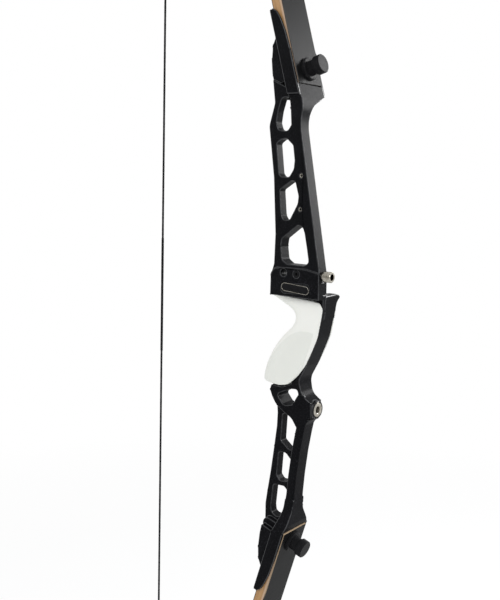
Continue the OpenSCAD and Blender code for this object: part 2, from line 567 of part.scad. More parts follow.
// The string's loop turns on a round waist across the limb, in grooves cut into both edges
nock_share = 0.735;
nock_axis = limb_point(1 + nock_share, limb_thick(1 + nock_share) / 2);
waist_r = 3.2;
groove_half = 5.6;
module nock_cut() translate([nock_axis.x, 0, nock_axis.y]) {
    difference() {
        rotate([90, 0, 0]) cylinder(r = waist_r + strand_d + 0.9, h = 40, center = true);
        rotate([90, 0, 0]) cylinder(r = waist_r, h = 50, center = true);
        translate([-20, -20, -20]) cube([20, 40, 40]);
    }
    for (side = [0, 1]) mirror([0, side, 0])
        translate([-20, 0, 0]) front_plate([[groove_half, -12, 3], [groove_half, 6, 3], [20, 8, 0], [20, -17, 0]], 0, 40);
}
module working_layer(from, to, t0 = after_bend) difference() {
    limb_layer(t0, 2, from, to);
    nock_cut();
}
module upper_butt_back_glass() color(GLASS) from_middle() butt_layer(0, 1);
module upper_butt_core() color(WOOD) from_middle() butt_layer(1, 2);
module upper_butt_belly_glass() color(GLASS) from_middle() butt_layer(2, 3);
module lower_butt_back_glass() color(GLASS) lower_twin() butt_layer(0, 1);
module lower_butt_core() color(WOOD) lower_twin() butt_layer(1, 2);
module lower_butt_belly_glass() color(GLASS) lower_twin() butt_layer(2, 3);
module upper_limb_back_glass() color(GLASS) from_middle() working_layer(0, 1);
module upper_limb_core() color(WOOD) from_middle() working_layer(1, 2);
module upper_limb_belly_glass() color(GLASS) from_middle() working_layer(2, 3);
module lower_limb_back_glass() color(GLASS) lower_twin() working_layer(0, 1);
module lower_limb_core() color(WOOD) lower_twin() working_layer(1, 2);
module lower_limb_belly_glass() color(GLASS) lower_twin() working_layer(2, 3);
module upper_tip_overlay() color(OXIDE) from_middle() working_layer(-1, 0, 1.35);
module lower_tip_overlay() color(OXIDE) lower_twin() working_layer(-1, 0, 1.35);

// Half of the string, from the nocking place to the loop. Near the middle each half keeps to its own side.
neck_z = nock_rise - 38;
half_lap = 29;
own_side = 0.15;
module string_line(d, z0, z1) translate([-string_back, 0, z0]) cylinder(d = d, h = z1 - z0);
module own_half(side) difference() {
    children();
    translate([-string_back - 5, side > 0 ? own_side - 10 : -own_side, -10]) cube([10, 10, half_lap + 10]);
}
strand_y = groove_half + strand_d / 2 + 0.3;
bight = [nock_axis.x, 0, nock_axis.y] + (waist_r + 0.3 + strand_d / 2) * [cos(20), 0, sin(20)];
module half_string(side) color(CORD) {
    own_half(side) string_line(string_d, -3, neck_z);
    for (y = [-1, 1]) bent_bar([[-string_back, y * 0.35, neck_z - 2], [-string_back - 0.3, y * strand_y, nock_rise - 15],
        [nock_axis.x - 6.4, y * strand_y, nock_axis.y - 12], [bight.x, y * strand_y, bight.z],
        [bight.x, 0, bight.z]], strand_d);
}
module half_serving(side) color(CORD) own_half(side) difference() {
    string_line(serving_d, -3, centre_serving);
    string_line(string_d, -4, centre_serving + 1);
}
module end_wrap() color(CORD) difference() {
    string_line(serving_d, neck_z - 2 - end_serving, neck_z - 2);
    string_line(string_d, neck_z - 3 - end_serving, neck_z - 1);
}
module upper_string() from_middle() half_string(1);
module lower_string() lower_twin() half_string(-1);
module upper_centre_serving() from_middle() half_serving(1);
module lower_centre_serving() lower_twin() half_serving(-1);
module upper_end_serving() from_middle() end_wrap();
module lower_end_serving() lower_twin() end_wrap();

riser();
grip();
grip_screws();
stabiliser_bushing();
front_sleeve();
button_hole_plug();
bolt_inserts();
locating_pins();
upper_limb_bolt();
lower_limb_bolt();
upper_washer();
lower_washer();
upper_butt_core();
upper_butt_back_glass();
upper_butt_belly_glass();
lower_butt_core();
lower_butt_back_glass();
lower_butt_belly_glass();
upper_limb_core();
upper_limb_back_glass();
upper_limb_belly_glass();
upper_tip_overlay();
lower_limb_core();
lower_limb_back_glass();
lower_limb_belly_glass();
lower_tip_overlay();
upper_string();
upper_end_serving();
upper_centre_serving();
lower_string();
lower_end_serving();
lower_centre_serving();
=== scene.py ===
"""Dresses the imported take-down recurve bow: riser, grip, limbs, clamps and string, in a plain studio."""
from __future__ import annotations

import logging
import math
from dataclasses import dataclass, field
from enum import Enum

import bmesh
import bpy
import numpy as np
from mathutils import Matrix, Vector
from mathutils.kdtree import KDTree


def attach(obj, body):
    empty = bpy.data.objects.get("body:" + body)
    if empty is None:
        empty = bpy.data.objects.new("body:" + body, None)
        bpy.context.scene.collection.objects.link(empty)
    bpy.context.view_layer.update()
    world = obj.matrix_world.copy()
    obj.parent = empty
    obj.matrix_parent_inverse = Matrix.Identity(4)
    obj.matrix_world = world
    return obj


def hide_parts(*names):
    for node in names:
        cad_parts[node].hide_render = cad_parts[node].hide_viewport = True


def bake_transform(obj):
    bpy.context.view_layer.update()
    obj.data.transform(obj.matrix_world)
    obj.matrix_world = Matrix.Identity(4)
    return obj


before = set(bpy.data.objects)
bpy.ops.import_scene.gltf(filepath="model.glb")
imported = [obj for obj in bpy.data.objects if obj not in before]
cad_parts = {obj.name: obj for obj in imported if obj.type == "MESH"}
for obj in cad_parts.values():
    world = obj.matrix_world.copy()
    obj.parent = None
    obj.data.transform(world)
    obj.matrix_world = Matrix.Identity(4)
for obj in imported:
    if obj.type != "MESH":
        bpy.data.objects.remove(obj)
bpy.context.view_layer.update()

LOG = logging.getLogger("bow")
MM = 0.001
MIDDLE = 0.1015
FRONT, RIGHT, UP = Vector((1, 0, 0)), Vector((0, -1, 0)), Vector((0, 0, 1))
QUARTER = [math.pi / 2 * k / 6 for k in range(7)]

Piece, Mesh, Shape = bpy.types.Object, bpy.types.Mesh, bmesh.types.BMesh
Node, Socket = bpy.types.Node, bpy.types.NodeSocket
Flat = tuple[float, float]
Spot = tuple[float, float, float]
Colour = tuple[float, float, float]


class End(Enum):
    """The two ends of the bow."""

    UPPER = "upper"
    LOWER = "lower"

    @property
    def sign(self) -> float:
        """1 above the riser's middle, -1 below it."""
        return 1.0 if self is End.UPPER else -1.0


class Layer(Enum):
    """A limb's layers, back to belly: (share of the thickness, glass thicknesses, rounding) of both faces."""

    BACK_GLASS = ((0.0, 0.0, 1.0), (0.0, 1.0, 0.0))
    CORE = ((0.0, 1.0, 0.0), (1.0, -1.0, 0.0))
    BELLY_GLASS = ((1.0, -1.0, 0.0), (1.0, 0.0, 1.0))


def place(x: float, y: float, z: float) -> Vector:
    """The frame's point, in metres, that lies x, y and z millimetres from the riser's middle."""
    return Vector((x * MM, y * MM, z * MM + MIDDLE))


class NodeGraph:
    """Adds nodes to a tree, links them and reckons with them."""

    def __init__(self, tree: bpy.types.NodeTree) -> None:
        """Starts on a tree."""
        self.tree = tree

    def add(self, kind: str, settings: dict | None = None, **inputs: object) -> Node:
        """Adds a node.

        Args:
            kind: the node's type.
            settings: properties to set on it.
            inputs: sockets by name with underscores for spaces, each a value or an output to link.

        Returns:
            The node.
        """
        node = self.tree.nodes.new(kind)
        for key, value in (settings or {}).items():
            setattr(node, key, value)
        for key, value in inputs.items():
            self.feed(node.inputs[key.replace("_", " ")], value)
        return node

    def feed(self, socket: Socket, value: object) -> None:
        """Links an output to a socket, or sets the socket's value.

        Args:
            socket: the socket to feed.
            value: an output, or a value that suits the socket; a colour has three numbers.
        """
        if isinstance(value, Socket):
            self.tree.links.new(value, socket)
        else:
            socket.default_value = (*value, 1.0) if socket.type == "RGBA" else value

    def result(self, kind: str, *values: object, **settings: object) -> Socket:
        """Adds a node and feeds its sockets in their order.

        Args:
            kind: the node's type.
            values: what the sockets get, from the first one on.
            settings: properties to set on the node.

        Returns:
            Its first output.
        """
        node = self.add(kind, settings)
        for socket, value in zip(node.inputs, values):
            self.feed(socket, value)
        return node.outputs[0]

    def maths(self, kind: str, a: object, b: object = 0.0, clamp: bool = False) -> Socket:
        """A math node's result, for the operation kind on a and b."""
        return self.result("ShaderNodeMath", a, b, operation=kind, use_clamp=clamp)

    def plus(self, a: object, b: object) -> Socket:
        """a + b."""
        return self.maths("ADD", a, b)

    def minus(self, a: object, b: object) -> Socket:
        """a - b."""
        return self.maths("SUBTRACT", a, b)

    def times(self, a: object, b: object) -> Socket:
        """a * b."""
        return self.maths("MULTIPLY", a, b)

    def spread(self, value: Socket, low: object = 0.0, high: object = 1.0, from_low: object = 0.3,
               from_high: object = 0.7) -> Socket:
        """Maps a value on to low to high from from_low to from_high, and keeps it inside."""
        return self.add("ShaderNodeMapRange", Value=value, From_Min=from_low, From_Max=from_high,
                        To_Min=low, To_Max=high).outputs[0]

    def vector(self, x: object = 0.0, y: object = 0.0, z: object = 0.0) -> Socket:
        """A vector of three numbers."""
        return self.add("ShaderNodeCombineXYZ", X=x, Y=y, Z=z).outputs[0]

    def split(self, vector: Socket) -> list[Socket]:
        """The three numbers of a vector."""
        return list(self.add("ShaderNodeSeparateXYZ", Vector=vector).outputs)

    def straight(self) -> Socket:
        """Tells what the camera sees, straight, mirrored or through glass.

        Returns:
            The socket, which is 1 there.
        """
        seen = self.add("ShaderNodeLightPath").outputs
        value = seen["Is Camera Ray"]
        for name in ("Is Glossy Ray", "Is Transmission Ray"):
            value = self.maths("MAXIMUM", value, seen[name])
        return value


class ShaderGraph(NodeGraph):
    """Builds the node graph of one material."""

    def __init__(self, name: str) -> None:
        """Starts a material with a Principled shader.

        Args:
            name: the material's name.
        """
        self.material = bpy.data.materials.new(name)
        self.material.use_nodes = True
        super().__init__(self.material.node_tree)
        self.tree.nodes.clear()
        self.shader = self.add("ShaderNodeBsdfPrincipled")
        self.output = self.add("ShaderNodeOutputMaterial", Surface=self.shader.outputs[0])

    def plain(self, **values: object) -> None:
        """Sets sockets of the shader itself, by name with underscores for spaces."""
        for key, value in values.items():
            self.feed(self.shader.inputs[key.replace("_", " ")], value)

    def place(self, stretch: Spot = (1.0, 1.0, 1.0)) -> Socket:
        """Object coordinates, stretched along each axis."""
        coordinates = self.add("ShaderNodeTexCoord").outputs["Object"]
        return self.add("ShaderNodeMapping", Vector=coordinates, Scale=stretch).outputs[0]

    def noise(self, scale: float, detail: float = 3.0, rough: float = 0.5,
              where: Socket | None = None) -> Socket:
        """Noise of scale features a metre over the object, or over the vector where."""
        return self.add("ShaderNodeTexNoise", Vector=where or self.place(), Scale=scale, Detail=detail,
                        Roughness=rough).outputs[0]

    def attribute(self, name: str) -> Socket:
        """The value of a number kept on the mesh."""
        return self.add("ShaderNodeAttribute", {"attribute_name": name}).outputs["Fac"]

    def blend(self, share: Socket, a: object, b: object) -> Socket:
        """Mixes two colours.

        Args:
            share: how much of the second there is.
            a: the first colour.
            b: the second colour.

        Returns:
            The mixed colour's socket.
        """
        node = self.add("ShaderNodeMix", {"data_type": "RGBA"})
        colours = [socket for socket in node.inputs if socket.type == "RGBA"]
        for socket, value in zip((node.inputs[0], *colours), (share, a, b)):
            self.feed(socket, value)
        return next(socket for socket in node.outputs if socket.type == "RGBA")

    def bump(self, height: Socket, depth: float, strength: float, under: Socket | None = None) -> Socket:
        """Turns a height into a normal.

        Args:
            height: the height, 0 to 1.
            depth: how many metres 1 stands for.
            strength: how much of it shows.
            under: the normal below it.

        Returns:
            The normal's socket.
        """
        node = self.add("ShaderNodeBump", Height=height, Distance=depth, Strength=strength)
        if under is not None:
            self.feed(node.inputs["Normal"], under)
        return node.outputs[0]


@dataclass(frozen=True)
class Finish:
    """A finish of the bow, and the record's material slot that it belongs to."""

    name: str
    slot: str

    def material(self) -> bpy.types.Material:
        """The finish's material, mixed at the first call.

        Returns:
            The material.
        """
        if self.name not in bpy.data.materials:
            self.mix()
        return bpy.data.materials[self.name]

    def mix(self) -> None:
        """Makes the material."""
        raise NotImplementedError

    def on(self, piece: Piece) -> None:
        """Puts the finish on a whole piece."""
        piece.data.materials.clear()
        piece.data.materials.append(self.material())


@dataclass(frozen=True)
class RiserPaint(Finish):
    """Satin black coat with a fine grain, a little thinner and smoother along the edges, which are painted
    paler for wear and as a painted highlight.
    """

    name: str = "riser_paint"
    slot: str = "paint"
    black: Colour = (0.0032, 0.0033, 0.0039)
    clouded: Colour = (0.0050, 0.0052, 0.0061)
    # Paler edge colour: partly wear, partly a painted highlight along the rounded edges.
    worn_and_highlit: Colour = (0.040, 0.041, 0.045)
    glint: Colour = (0.022, 0.022, 0.026)
    specular: float = 0.026
    edge_specular: float = 0.24

    def mix(self) -> None:
        """Fine grain with paler specks, faint clouds, and edges painted paler for wear and as a painted
        highlight.
        """
        graph = ShaderGraph(self.name)
        cloud, grain, edge = graph.noise(42.0, 4.0), graph.noise(1500.0, 3.0, 0.6), graph.attribute("edge")
        # Edge mask broken by noise: where the paler wear and painted highlight go.
        rubbed_and_highlit = graph.times(edge, graph.spread(graph.noise(160.0, 5.0, 0.65), 0.2, 1.0, 0.38, 0.66))
        speck = graph.spread(graph.noise(760.0, 3.0, 0.7), 0.0, 1.0, 0.53, 0.72)
        base = graph.blend(speck, graph.blend(graph.spread(cloud), self.black, self.clouded), self.glint)
        wavy = graph.bump(graph.noise(420.0, 2.0), 0.00005, 0.35)
        graph.plain(Base_Color=graph.blend(rubbed_and_highlit, base, self.worn_and_highlit),
                    Specular_IOR_Level=graph.plus(self.specular, graph.times(edge, self.edge_specular)),
                    Roughness=graph.minus(graph.spread(grain, 0.32, 0.42), graph.times(edge, 0.06)),
                    Normal=graph.bump(grain, 0.00006, 0.55, wavy))


@dataclass(frozen=True)
class GripShell(Finish):
    """Matte off-white moulded plastic."""

    name: str = "grip_shell"
    slot: str = "shell"
    smooth: tuple[Colour, Colour] = ((0.845, 0.845, 0.805), (0.815, 0.820, 0.775))
    # Darker tones of the right side's facet: painted shade.
    facet_shade: tuple[Colour, Colour] = ((0.765, 0.775, 0.730), (0.740, 0.750, 0.705))
    handled: Colour = (0.73, 0.73, 0.685)

    def mix(self) -> None:
        """A fine moulded grain, a breath of handling, and a painted shade on the right side's facet."""
        graph = ShaderGraph(self.name)
        grain = graph.noise(2300.0, 2.0, 0.6)
        cloud = graph.spread(graph.noise(28.0, 3.0))
        hand = graph.spread(graph.noise(11.0, 2.0), 0.0, 0.35, 0.45, 0.75)
        # The facet number picks the painted shade.
        base = graph.blend(graph.attribute("facet"), graph.blend(cloud, *self.smooth),
                           graph.blend(cloud, *self.facet_shade))
        graph.plain(Base_Color=graph.blend(hand, base, self.handled), Specular_IOR_Level=0.22,
                    Roughness=graph.spread(grain, 0.52, 0.66), Normal=graph.bump(grain, 0.00005, 0.4),
                    Subsurface_Weight=0.06, Subsurface_Scale=0.002, Subsurface_Radius=(1.0, 0.9, 0.8))


@dataclass(frozen=True)
class BlackOxide(Finish):
    """Blackened steel with turning marks and a fine grain."""

    name: str = "black_oxide"
    slot: str = "oxide"
    black: Colour = (0.011, 0.011, 0.012)
    scuffed: Colour = (0.032, 0.031, 0.031)

    def mix(self) -> None:
        """Dark metal under a thin oxide, with bare scuffs."""
        graph = ShaderGraph(self.name)
        grain = graph.noise(2600.0, 3.0, 0.65)
        scuff = graph.spread(graph.noise(300.0, 5.0, 0.7), 0.0, 1.0, 0.55, 0.78)
        graph.plain(Base_Color=graph.blend(scuff, self.black, self.scuffed), Specular_IOR_Level=0.027,
                    Roughness=graph.spread(grain, 0.28, 0.40), Normal=graph.bump(grain, 0.00007, 0.7))


@dataclass(frozen=True)
class Nickel(Finish):
    """Bright nickel plate over turned steel."""

    name: str = "nickel_plate"
    slot: str = "nickel"
    bright: Colour = (0.44, 0.42, 0.37)
    dull: Colour = (0.22, 0.20, 0.165)

    def mix(self) -> None:
        """Warm metal with turning rings and slight tarnish."""
        graph = ShaderGraph(self.name)
        turned = graph.noise(1500.0, 2.0, 0.5, graph.place((1.0, 0.12, 0.12)))
        tarnish = graph.spread(graph.noise(240.0, 4.0), 0.0, 1.0, 0.4, 0.75)
        graph.plain(Base_Color=graph.blend(tarnish, self.bright, self.dull), Metallic=1.0,
                    Roughness=graph.spread(turned, 0.16, 0.30), Normal=graph.bump(turned, 0.00003, 0.6))


@dataclass(frozen=True)
class ShadedBore(Nickel):
    """Plate inside a threaded bore, painted dark as the shade in it."""

    name: str = "oiled_bore"
    # Painted shade: dark colours that stand for the shade inside a bore.
    bright: Colour = (0.17, 0.155, 0.13)
    dull: Colour = (0.050, 0.045, 0.038)


@dataclass(frozen=True)
class LimbGlass(Finish):
    """Black glass fibre face of a limb, sanded to a satin sheen along the limb."""

    name: str = "glass_face"
    slot: str = "limb_glass"
    black: Colour = (0.0058, 0.0060, 0.0064)
    clouded: Colour = (0.0078, 0.0080, 0.0084)

    def mix(self) -> None:
        """Fibre streaks along the limb."""
        graph = ShaderGraph(self.name)
        along = graph.vector(graph.times(graph.attribute("run"), 0.03), graph.split(graph.place())[1])
        fibre = graph.noise(1700.0, 3.0, 0.6, along)
        wavy = graph.bump(graph.noise(1300.0, 2.0), 0.00003, 0.3)
        graph.plain(Base_Color=graph.blend(graph.spread(graph.noise(24.0, 3.0)), self.black, self.clouded),
                    Specular_IOR_Level=0.036, Roughness=graph.spread(fibre, 0.34, 0.42),
                    Normal=graph.bump(fibre, 0.00003, 0.35, wavy))


@dataclass(frozen=True)
class GlassEdge(Finish):
    """Cut edge of the glass fibre, brown under the lacquer."""

    name: str = "glass_edge"
    slot: str = "limb_glass"
    brown: Colour = (0.040, 0.024, 0.015)
    dark: Colour = (0.016, 0.010, 0.007)
    # Painted light (pale, lower pocket) and painted shade (grey, upper pocket) on the edges in the pockets.
    pale: Colour = (0.34, 0.25, 0.16)
    shaded: Colour = (0.045, 0.042, 0.040)

    def mix(self) -> None:
        """Streaks of fibre along the cut; in the pockets painted light and shade instead: pale in the lower
        pocket and grey in the upper one.
        """
        graph = ShaderGraph(self.name)
        along = graph.vector(graph.times(graph.attribute("run"), 0.06), graph.attribute("deep"))
        streak = graph.noise(220.0, 4.0, 0.6, along)
        # In the pockets the edge takes painted light below the middle and painted shade above it.
        pocket = graph.spread(graph.attribute("run"), 1.0, 0.0, 0.078, 0.088)
        upper = graph.spread(graph.split(graph.place())[2], 0.0, 1.0, 0.0, 0.1)
        aged = graph.blend(graph.spread(streak), self.brown, self.dark)
        graph.plain(Base_Color=graph.blend(pocket, aged, graph.blend(upper, self.pale, self.shaded)),
                    Roughness=graph.spread(streak, 0.36, 0.5), Specular_IOR_Level=0.2,
                    Normal=graph.bump(streak, 0.00003, 0.4))


@dataclass(frozen=True)
class ButtEdge(GlassEdge):
    """Sawn end of a limb butt, paler where the lacquer is thin; in the pockets it takes the glass edge's
    painted light and shade.
    """

    name: str = "butt_edge"
    brown: Colour = (0.52, 0.42, 0.29)
    dark: Colour = (0.36, 0.27, 0.17)


@dataclass(frozen=True)
class LimbWood(Finish):
    """Honey maple laminations with fine grain along the limb, under a satin lacquer."""

    name: str = "maple_core"
    slot: str = "limb_wood"
    honey: tuple[Colour, Colour] = ((0.44, 0.255, 0.105), (0.335, 0.178, 0.064))
    pores: Colour = (0.30, 0.145, 0.05)
    rosy: Colour = (0.46, 0.32, 0.215)
    glue: Colour = (0.26, 0.125, 0.045)
    seams: Flat = (0.3, 0.68)

    def mix(self) -> None:
        """Grain, pores and glue lines that follow the limb's run and depth."""
        graph = ShaderGraph(self.name)
        run, deep, across = graph.attribute("run"), graph.attribute("deep"), graph.split(graph.place())[1]
        long, short = (graph.vector(graph.times(run, along), across, graph.times(deep, down))
                       for along, down in ((0.06, 0.011), (0.035, 0.012)))
        grain, pore = graph.noise(420.0, 5.0, 0.6, long), graph.noise(2600.0, 2.0, 0.5, short)
        streaked = graph.blend(graph.spread(pore, 0.0, 0.55, 0.52, 0.72),
                               graph.blend(graph.spread(grain), *self.honey), self.pores)
        base = graph.blend(graph.spread(deep, 1.0, 0.0, 0.16, 0.30), streaked, self.rosy)
        lines = [graph.spread(graph.maths("ABSOLUTE", graph.minus(deep, at)), 0.7, 0.0, 0.008, 0.018)
                 for at in self.seams]
        graph.plain(Base_Color=graph.blend(graph.maths("MAXIMUM", *lines), base, self.glue),
                    Roughness=graph.spread(grain, 0.34, 0.44), Specular_IOR_Level=0.42, Coat_Weight=0.12,
                    Coat_Roughness=0.28, Normal=graph.bump(pore, 0.00003, 0.3))


@dataclass(frozen=True)
class WaxedFibre(Finish):
    """Black waxed string fibre."""

    name: str = "waxed_fibre"
    slot: str = "cord"
    black: Colour = (0.0105, 0.0108, 0.0115)
    waxed: Colour = (0.022, 0.022, 0.023)

    def mix(self) -> None:
        """Fine threads along the string, with wax in them."""
        graph = ShaderGraph(self.name)
        thread = graph.noise(3800.0, 2.0, 0.6, graph.place((1.0, 1.0, 0.08)))
        wax = graph.spread(graph.noise(260.0, 4.0), 0.0, 1.0, 0.45, 0.75)
        graph.plain(Base_Color=graph.blend(wax, self.black, self.waxed), Specular_IOR_Level=0.06,
                    Roughness=graph.spread(thread, 0.42, 0.62), Normal=graph.bump(thread, 0.00004, 0.6))


@dataclass(frozen=True)
class BadgeLacquer(Finish):
    """Deep gloss black of the bare badge."""

    name: str = "badge_lacquer"
    slot: str = "paint"
    black: Colour = (0.004, 0.004, 0.005)
    rippled: Colour = (0.007, 0.007, 0.008)

    def mix(self) -> None:
        """A smooth dark pool with the faintest ripple."""
        graph = ShaderGraph(self.name)
        ripple = graph.noise(260.0, 2.0)
        graph.plain(Base_Color=graph.blend(graph.spread(ripple), self.black, self.rippled),
                    Specular_IOR_Level=0.08, Roughness=graph.spread(ripple, 0.16, 0.22),
                    Normal=graph.bump(ripple, 0.00004, 0.3))


PAINT, SHELL, OXIDE, NICKEL, BORE = RiserPaint(), GripShell(), BlackOxide(), Nickel(), ShadedBore()
GLASS, GLASS_EDGE, BUTT_EDGE, WOOD = LimbGlass(), GlassEdge(), ButtEdge(), LimbWood()
FIBRE, LACQUER = WaxedFibre(), BadgeLacquer()


class ShapeTree(NodeGraph):
    """Builds a Geometry Nodes tree with named inputs, and runs it into a plain mesh."""

    def __init__(self, name: str, finish: Finish, **inputs: object) -> None:
        """Starts a tree, which also has an input named Finish.

        Args:
            name: the tree's name.
            finish: the finish of its faces.
            inputs: its inputs by name with underscores for spaces, each a number or an object.
        """
        super().__init__(bpy.data.node_groups.new(name, "GeometryNodeTree"))
        self.inputs = {**inputs, "Finish": finish.material()}
        self.keys = {}
        kinds = {float: "Float", int: "Int", Piece: "Object", bpy.types.Material: "Material"}
        sockets = self.tree.interface
        sockets.new_socket("Shape", in_out="OUTPUT", socket_type="NodeSocketGeometry")
        for label, value in self.inputs.items():
            kind = "NodeSocket" + kinds[type(value)]
            socket = sockets.new_socket(label.replace("_", " "), in_out="INPUT", socket_type=kind)
            self.keys[label] = socket.identifier
        self.start, self.end = self.add("NodeGroupInput"), self.add("NodeGroupOutput")

    def given(self, *labels: str) -> list[Socket]:
        """The sockets of named inputs."""
        return [self.start.outputs[label] for label in labels]

    def moved(self, shape: Socket, **how: object) -> Socket:
        """A shape, moved or turned."""
        return self.add("GeometryNodeTransform", Geometry=shape, **how).outputs[0]

    def tube(self, line: Socket, radius: object, sides: int) -> Socket:
        """A tube along a curve, with its ends closed."""
        ring = self.add("GeometryNodeCurvePrimitiveCircle", Resolution=sides, Radius=radius).outputs[0]
        return self.add("GeometryNodeCurveToMesh", Curve=line, Profile_Curve=ring, Fill_Caps=True).outputs[0]

    def coil(self, turns: Socket, radius: Socket, height: Socket, steps: int) -> Socket:
        """A helix round the Z axis, with steps points a turn."""
        return self.add("GeometryNodeCurveSpiral", Resolution=steps, Rotations=turns, Start_Radius=radius,
                        End_Radius=radius, Height=height).outputs[0]

    def close(self, shape: Socket) -> ShapeTree:
        """Ends the tree: real instances, smooth faces and the material of the input named Finish.

        Args:
            shape: the tree's shape.

        Returns:
            The tree.
        """
        real = self.add("GeometryNodeRealizeInstances", Geometry=shape)
        smooth = self.add("GeometryNodeSetShadeSmooth", Geometry=real.outputs[0])
        done = self.add("GeometryNodeSetMaterial", Geometry=smooth.outputs[0],
                        Material=self.start.outputs["Finish"])
        self.feed(self.end.inputs[0], done.outputs[0])
        return self

    def run(self, name: str, **changes: object) -> Piece:
        """Runs the tree.

        Args:
            name: the new object's name.
            changes: inputs that differ from the tree's own.

        Returns:
            An object with the plain mesh.
        """
        host = linked(name + "_host", bpy.data.meshes.new(name + "_host"))
        modifier = host.modifiers.new("shape", "NODES")
        modifier.node_group = self.tree
        for label, value in {**self.inputs, **changes}.items():
            modifier[self.keys[label]] = value
        return plain_copy(host, name)


def linked(name: str, data: bpy.types.ID) -> Piece:
    """Puts a new object into the scene.

    Args:
        name: the object's name.
        data: its mesh, curve, lamp or camera.

    Returns:
        The object.
    """
    piece = bpy.data.objects.new(name, data)
    bpy.context.scene.collection.objects.link(piece)
    return piece


def plain_copy(host: Piece, name: str) -> Piece:
    """Turns an object with modifiers into a new object with a plain mesh, and removes the first.

    Args:
        host: the object with modifiers.
        name: the new object's name.

    Returns:
        The new object.
    """
    bpy.context.view_layer.update()
    graph = bpy.context.evaluated_depsgraph_get()
    mesh = bpy.data.meshes.new_from_object(host.evaluated_get(graph), depsgraph=graph)
    mesh.name = name
    host.modifiers.clear()
    bpy.data.objects.remove(host)
    return linked(name, mesh)


def from_bmesh(shape: Shape, name: str, smooth: float | None = 35.0) -> Piece:
    """Makes an object of a bmesh, with its faces pointing outwards.

    Args:
        shape: the bmesh, which is freed.
        name: the object's name.
        smooth: the angle in degrees up to which faces shade as one, or None for flat faces.

    Returns:
        The object.
    """
    bmesh.ops.recalc_face_normals(shape, faces=shape.faces)
    mesh = bpy.data.meshes.new(name)
    shape.to_mesh(mesh)
    shape.free()
    if smooth is not None:
        shade(mesh, smooth)
    return linked(name, mesh)


def shade(mesh: Mesh, angle: float = 180.0) -> None:
    """Shades a mesh smooth, except over edges sharper than an angle.

    Args:
        mesh: the mesh.
        angle: the angle in degrees.
    """
    mesh.polygons.foreach_set("use_smooth", [True] * len(mesh.polygons))
    if angle < 180.0:
        mesh.set_sharp_from_angle(angle=math.radians(angle))
    mesh.update()


def merged(node: str, apart: float) -> Shape:
    """Copies a CAD node's mesh and merges its doubles.

    Args:
        node: the CAD node.
        apart: how far apart points that are merged may be, in metres.

    Returns:
        The copy.
    """
    shape = bmesh.new()
    shape.from_mesh(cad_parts[node].data)
    bmesh.ops.remove_doubles(shape, verts=shape.verts, dist=apart)
    return shape


def keep_number(mesh: Mesh, name: str, values: np.ndarray, domain: str = "POINT") -> None:
    """Keeps a number on each point of a mesh, or on each face."""
    mesh.attributes.new(name, "FLOAT", domain).data.foreach_set("value", values.astype(np.float32))


def loft(rings: list[list[Vector]], name: str, closed: bool = False, smooth: float | None = 35.0) -> Piece:
    """A skin over rings of points, closed at its ends.

    Args:
        rings: the rings in order, each of the same count, or a single point at an end.
        name: the object's name.
        closed: whether the last ring meets the first.
        smooth: see from_bmesh.

    Returns:
        The object.
    """
    shape = bmesh.new()
    rows = [[shape.verts.new(point) for point in ring] for ring in rings]
    for low, high in zip(rows, rows[1:] + (rows[:1] if closed else [])):
        for k in range(max(len(low), len(high))):
            j = k + 1
            corners = (low[k % len(low)], low[j % len(low)], high[j % len(high)], high[k % len(high)])
            shape.faces.new(list(dict.fromkeys(corners)))
    for ring in ([] if closed else (rows[0], rows[-1])):
        if len(ring) > 2:
            shape.faces.new(ring)
    return from_bmesh(shape, name, smooth)


def turned(profile: list[Flat], centre: Vector, axis: Vector, name: str, sides: int = 64,
           closed: bool = False, smooth: float | None = 35.0) -> Piece:
    """A turned solid.

    Args:
        profile: (radius, height) in millimetres, from one end to the other.
        centre: where height 0 is, in metres.
        axis: the way that height grows.
        name: the object's name.
        sides: how many faces there are round it.
        closed: whether the profile is a ring, as of a part with a bore.
        smooth: see from_bmesh.

    Returns:
        The object.
    """
    turn = axis.normalized().to_track_quat("Z", "Y").to_matrix()
    rings = []
    for radius, height in ((r * MM, h * MM) for r, h in profile):
        angles = [math.tau * k / sides for k in range(sides if radius > 0 else 1)]
        rings.append([centre + turn @ Vector((radius * math.cos(a), radius * math.sin(a), height))
                      for a in angles])
    return loft(rings, name, closed, smooth)


def hose(corners: list[Vector], radius: float, name: str, cuts: int = 3, sides: int = 12) -> Piece:
    """A round tube along a path whose corners are rounded.

    Args:
        corners: the path's corners.
        radius: the tube's radius.
        name: the object's name.
        cuts: how often the corners are cut to round them.
        sides: how many faces there are round the tube.

    Returns:
        The object.
    """
    path = corners
    for _ in range(cuts):
        between = [a.lerp(b, share) for a, b in zip(path, path[1:]) for share in (0.25, 0.75)]
        path = [path[0], *between, path[-1]]
    ways = [(path[min(i + 1, len(path) - 1)] - path[max(i - 1, 0)]).normalized() for i in range(len(path))]
    side = ways[0].orthogonal().normalized()
    rings = []
    for point, way in zip(path, ways):
        side = (side - way * side.dot(way)).normalized()
        other = way.cross(side)
        rings.append([point + radius * (math.cos(a) * side + math.sin(a) * other)
                      for a in (math.tau * k / sides for k in range(sides))])
    return loft(rings, name, smooth=60.0)


def carve(piece: Piece, cutters: list[Piece]) -> Piece:
    """Cuts solids out of a piece.

    Args:
        piece: the object to cut.
        cutters: the solids to cut out of it, which are kept.

    Returns:
        The cut object, under the same name.
    """
    name = piece.name
    piece.name = name + "_uncut"
    for cutter in cutters:
        modifier = piece.modifiers.new("cut", "BOOLEAN")
        modifier.operation, modifier.solver, modifier.object = "DIFFERENCE", "EXACT", cutter
    return plain_copy(piece, name)


